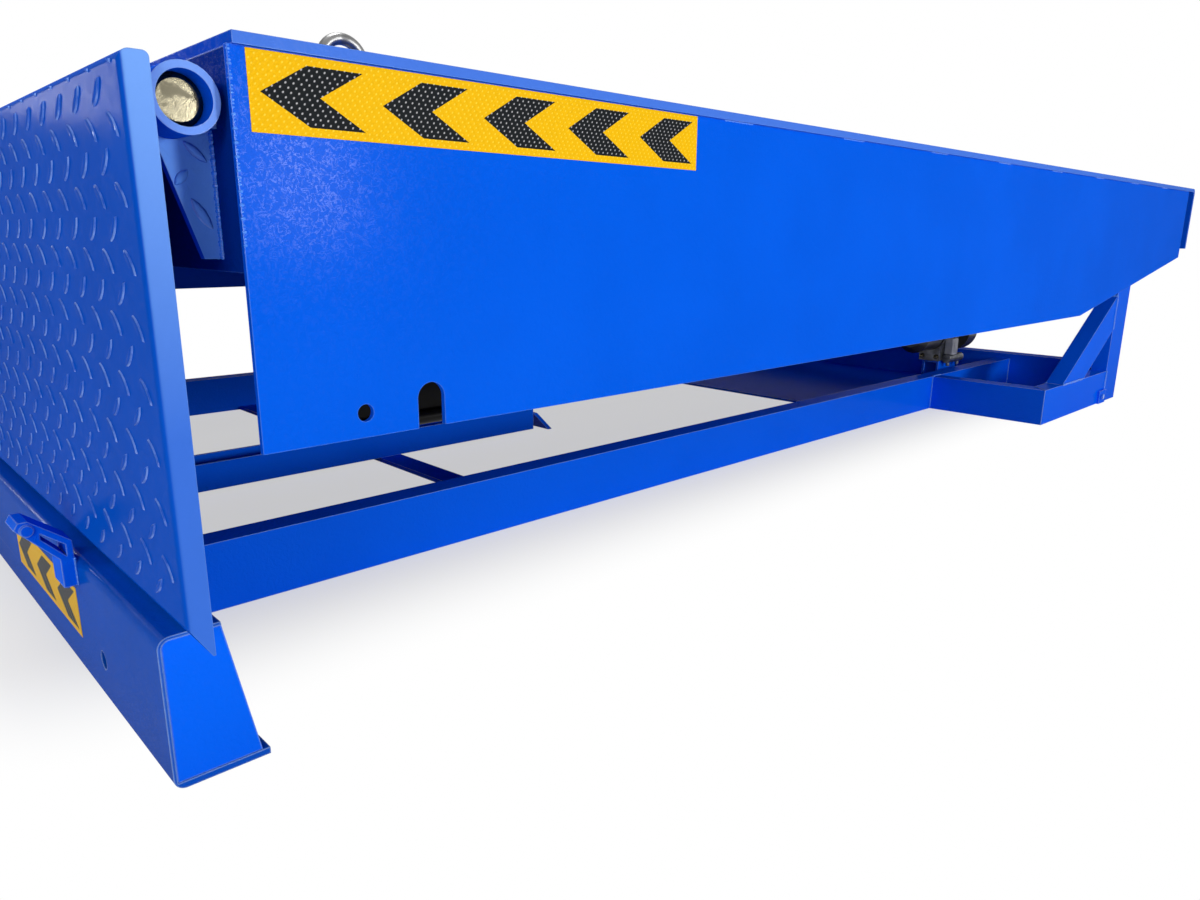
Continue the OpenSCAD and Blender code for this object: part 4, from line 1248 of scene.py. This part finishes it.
@dataclass
class LipFlap:
    """The hinged lip with its tread and the welds of its knuckles."""

    shop: Workshop
    first_inset: float = 0.052
    second_inset: float = 0.025
    top_gap: float = 0.0205
    rows: int = 18
    border: float = 0.0045
    tread: TreadPattern = field(default_factory=TreadPattern)
    bead: WeldBead = field(default_factory=WeldBead)
    half_foot: float = 0.015

    def dress(self) -> None:
        """Gives the lip's nodes their finishes."""
        # The lip takes a darker copy of the enamel with a painted highlight on its sides; the knuckles take
        # a painted highlight on their ends.
        self.shop.paint("lip_plate", Coat.FLAP_PAINTED_SHADE)
        self.shop.paint("lip_knuckles", Coat.KNUCKLE_PAINTED_HIGHLIGHT)

    def build(self) -> None:
        """Makes the tread and the welds."""
        low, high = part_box("lip_plate")
        bm = bmesh.new()
        columns = int((high.x - low.x - self.first_inset) / self.tread.across) + 1
        first = (high.x - self.second_inset, high.z - self.top_gap + self.tread.between_rows)
        second = (high.x - self.first_inset, high.z - self.top_gap)
        self.tread.field(bm, first, second, columns, self.rows, lean=-self.tread.lean)
        self._trim(bm, Vector((-1.0, 0.0, 0.0)), -low.x - self.border)
        self._trim(bm, Vector((0.0, 1.0, 0.0)), high.z - self.border)
        bmesh.ops.transform(bm, matrix=Facing.FRONT.place(Vector((0.0, low.y, 0.0))), verts=bm.verts)
        self.shop.piece("lip_tread", bm, Body.LIP, Slot.PAINT, *self.tread.COATS, crease=self.tread.CREASE)
        self._welds()

    def _trim(self, bm: bmesh.types.BMesh, normal: Vector, reach: float) -> None:
        """Cuts off what lies past a plane, and lets the cut lugs run out there.

        Args:
            bm: The mesh of the lugs.
            normal: The way past the plane.
            reach: How far the plane lies from the origin.
        """
        cut = bmesh.ops.bisect_plane(
            bm, geom=[*bm.verts, *bm.edges, *bm.faces], dist=1e-6, plane_co=normal * reach, plane_no=normal,
            clear_outer=True,
        )["geom_cut"]
        edges = [item for item in cut if isinstance(item, bmesh.types.BMEdge)]
        for edge in edges:
            for vert in edge.verts:
                vert.co.z = min(vert.co.z, -self.tread.sunk)
        bmesh.ops.holes_fill(bm, edges=edges, sides=0)

    def _welds(self) -> None:
        """Lays a seam above and below the foot of each of the lip's knuckles, on the lip's back."""
        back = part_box("lip_plate")[1].y
        ends = side_faces("lip_knuckles")
        low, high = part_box("lip_knuckles")
        middle = (low.z + high.z) / 2
        bm = bmesh.new()
        # The two sides of a knuckle's foot lie between the two ends of its barrel.
        for start, end in zip(ends[1::4], ends[2::4]):
            for z in (middle - self.half_foot, middle + self.half_foot):
                self.bead.lay(bm, Vector((start, back, z)), Vector((end, back, z)))
        self.shop.piece("lip_welds", bm, Body.LIP, Slot.PAINT, Coat.WELD)


def deck_edge() -> Vector:
    """The middle of the deck's front edge, on the floor."""
    return Vector((0.0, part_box("deck_plate")[0].y, 0.0))


@dataclass(frozen=True)
class Softbox:
    """A rectangular lamp, placed and aimed from the deck's front edge, with its power in watts."""

    name: str
    centre: Point
    target: Point
    size: tuple[float, float]
    power: float

    def hang(self) -> None:
        """Hangs the lamp."""
        lamp = bpy.data.lights.new(self.name, "AREA")
        lamp.shape = "RECTANGLE"
        lamp.size, lamp.size_y = self.size
        lamp.energy = self.power
        made = bpy.data.objects.new(self.name, lamp)
        made.location = deck_edge() + Vector(self.centre)
        aim = Vector(self.target) - Vector(self.centre)
        made.rotation_euler = aim.to_track_quat("-Z", "Y").to_euler()
        bpy.context.scene.collection.objects.link(made)


@dataclass
class Studio:
    """A pale floor, soft lamps, a white background and the camera."""

    floor_size: float = 24.0
    floor_colour: Colour = (0.83, 0.82, 0.80)
    sky_light: float = 0.20
    shade_share: float = 0.56
    shade_reach: float = 0.30
    camera_from_edge: Point = (1.602, -0.245, 0.4395)
    camera_forward: Point = (-0.6976, 0.6733, -0.2450)
    camera_right: Point = (0.6931, 0.7209, 0.0078)
    lens: float = 25.58
    sensor: float = 36.0

    WHITE: ClassVar[tuple[float, ...]] = (1.0, 1.0, 1.0, 1.0)
    LAMPS: ClassVar[tuple[Softbox, ...]] = (
        Softbox("right_softbox", (4.2, 1.55, 0.72), (0.9, -0.5, 0.30), (0.40, 0.62), 54.0),
        Softbox("right_rear_softbox", (4.2, 2.6, 2.10), (0.9, 2.0, 0.35), (1.4, 1.2), 20.0),
        Softbox("left_softbox", (-3.2, -1.0, 1.2), (0.2, -0.1, 0.2), (0.5, 0.5), 12.0),
        Softbox("front_right_softbox", (2.7, -1.9, 1.1), (0.8, 0.9, 0.2), (1.2, 1.0), 24.0),
        Softbox("overhead_softbox", (0.3, 0.6, 3.2), (0.3, 0.7, 0.3), (1.1, 0.7), 70.0),
        Softbox("front_softbox", (-0.97, -2.7, 2.0), (0.4, 0.0, 0.3), (0.5, 0.4), 20.0),
    )

    def build(self) -> None:
        """Sets up the floor, the light and the camera."""
        self._floor()
        self._world()
        for lamp in self.LAMPS:
            lamp.hang()
        self._camera()
        bpy.context.scene.view_settings.view_transform = "Standard"

    @staticmethod
    def _seen(nodes: NodeBuilder) -> bpy.types.NodeSocket:
        """Finds whether the camera sees a place straight, mirrored or through glass.

        Args:
            nodes: The builder of the shader tree.

        Returns:
            The socket of the answer, 0 or 1.
        """
        path = nodes.add("ShaderNodeLightPath").outputs
        mirrored = nodes.math("MAXIMUM", path["Is Glossy Ray"], path["Is Transmission Ray"])
        return nodes.math("MAXIMUM", path["Is Camera Ray"], mirrored)

    def _floor(self) -> None:
        """Lays the floor, which stays white but keeps a weak shadow."""
        bm = bmesh.new()
        bmesh.ops.create_grid(bm, x_segments=1, y_segments=1, size=self.floor_size / 2)
        mesh = bpy.data.meshes.new("studio_floor")
        bm.to_mesh(mesh)
        bm.free()
        floor = bpy.data.objects.new("studio_floor", mesh)
        bpy.context.scene.collection.objects.link(floor)
        material = bpy.data.materials.new("pale_floor")
        material.use_nodes = True
        material.node_tree.nodes.clear()
        nodes = NodeBuilder(material.node_tree)
        paint = nodes.add("ShaderNodeBsdfDiffuse", {"Color": (*self.floor_colour, 1.0)})
        glow = nodes.add("ShaderNodeEmission", {"Color": self.WHITE, "Strength": 1.0})
        share = nodes.math("MULTIPLY", self._seen(nodes), self._whiteness(nodes))
        mixed = nodes.add("ShaderNodeMixShader", {0: share, 1: paint.outputs[0], 2: glow.outputs[0]})
        nodes.add("ShaderNodeOutputMaterial", {"Surface": mixed.outputs[0]})
        mesh.materials.append(material)

    def _whiteness(self, nodes: NodeBuilder) -> bpy.types.NodeSocket:
        """Finds how white the floor shows: shaded between the rails, and pure white farther out.

        Args:
            nodes: The builder of the floor's shader tree.

        Returns:
            The socket of the share of white.
        """
        rail_low, rail_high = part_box("side_rail_r")
        axes = nodes.add("ShaderNodeSeparateXYZ", {0: nodes.object_coords()}).outputs
        middle, half = (rail_low.y + rail_high.y) / 2, (rail_high.y - rail_low.y) / 2
        along = nodes.math("ABSOLUTE", nodes.math("SUBTRACT", axes["Y"], middle))
        across = nodes.math("ABSOLUTE", axes["X"])
        beside = nodes.math("MAXIMUM", nodes.math("SUBTRACT", across, rail_low.x), 0.0)
        beyond = nodes.math("MAXIMUM", nodes.math("SUBTRACT", along, half), 0.0)
        squares = (nodes.math("MULTIPLY", value, value) for value in (beside, beyond))
        distance = nodes.math("SQRT", nodes.math("ADD", *squares))
        return nodes.ramp(distance, 0.0, self.shade_reach, self.shade_share, 1.0)

    def _world(self) -> None:
        """Makes the background white and the sky light soft."""
        world = bpy.data.worlds.new("white_room")
        world.use_nodes = True
        world.node_tree.nodes.clear()
        nodes = NodeBuilder(world.node_tree)
        light = nodes.add("ShaderNodeBackground", {"Color": self.WHITE, "Strength": self.sky_light})
        shown = nodes.add("ShaderNodeBackground", {"Color": self.WHITE, "Strength": 1.0})
        seen = self._seen(nodes)
        mixed = nodes.add("ShaderNodeMixShader", {0: seen, 1: light.outputs[0], 2: shown.outputs[0]})
        nodes.add("ShaderNodeOutputWorld", {"Surface": mixed.outputs[0]})
        bpy.context.scene.world = world

    def _camera(self) -> None:
        """Sets the camera at the photograph's place and angle."""
        data = bpy.data.cameras.new("view")
        data.lens = self.lens
        data.sensor_width = self.sensor
        camera = bpy.data.objects.new("view", data)
        forward = Vector(self.camera_forward).normalized()
        right = Vector(self.camera_right).normalized()
        up = right.cross(forward)
        turn = Matrix((right, up, -forward)).transposed()
        at = deck_edge() + Vector(self.camera_from_edge)
        camera.matrix_world = Matrix.Translation(at) @ turn.to_4x4()
        bpy.context.scene.collection.objects.link(camera)
        bpy.context.scene.camera = camera


def main() -> None:
    """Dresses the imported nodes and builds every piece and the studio."""
    logging.basicConfig(level=logging.INFO, format="%(message)s")
    shop = Workshop()
    for assembly in (FloorFrame(shop), PowerPack(shop), RampDeck(shop), LipFlap(shop)):
        assembly.dress()
        assembly.build()
        log.info("%s is done", type(assembly).__name__)
    Studio().build()


if __name__ == "__main__":
    main()
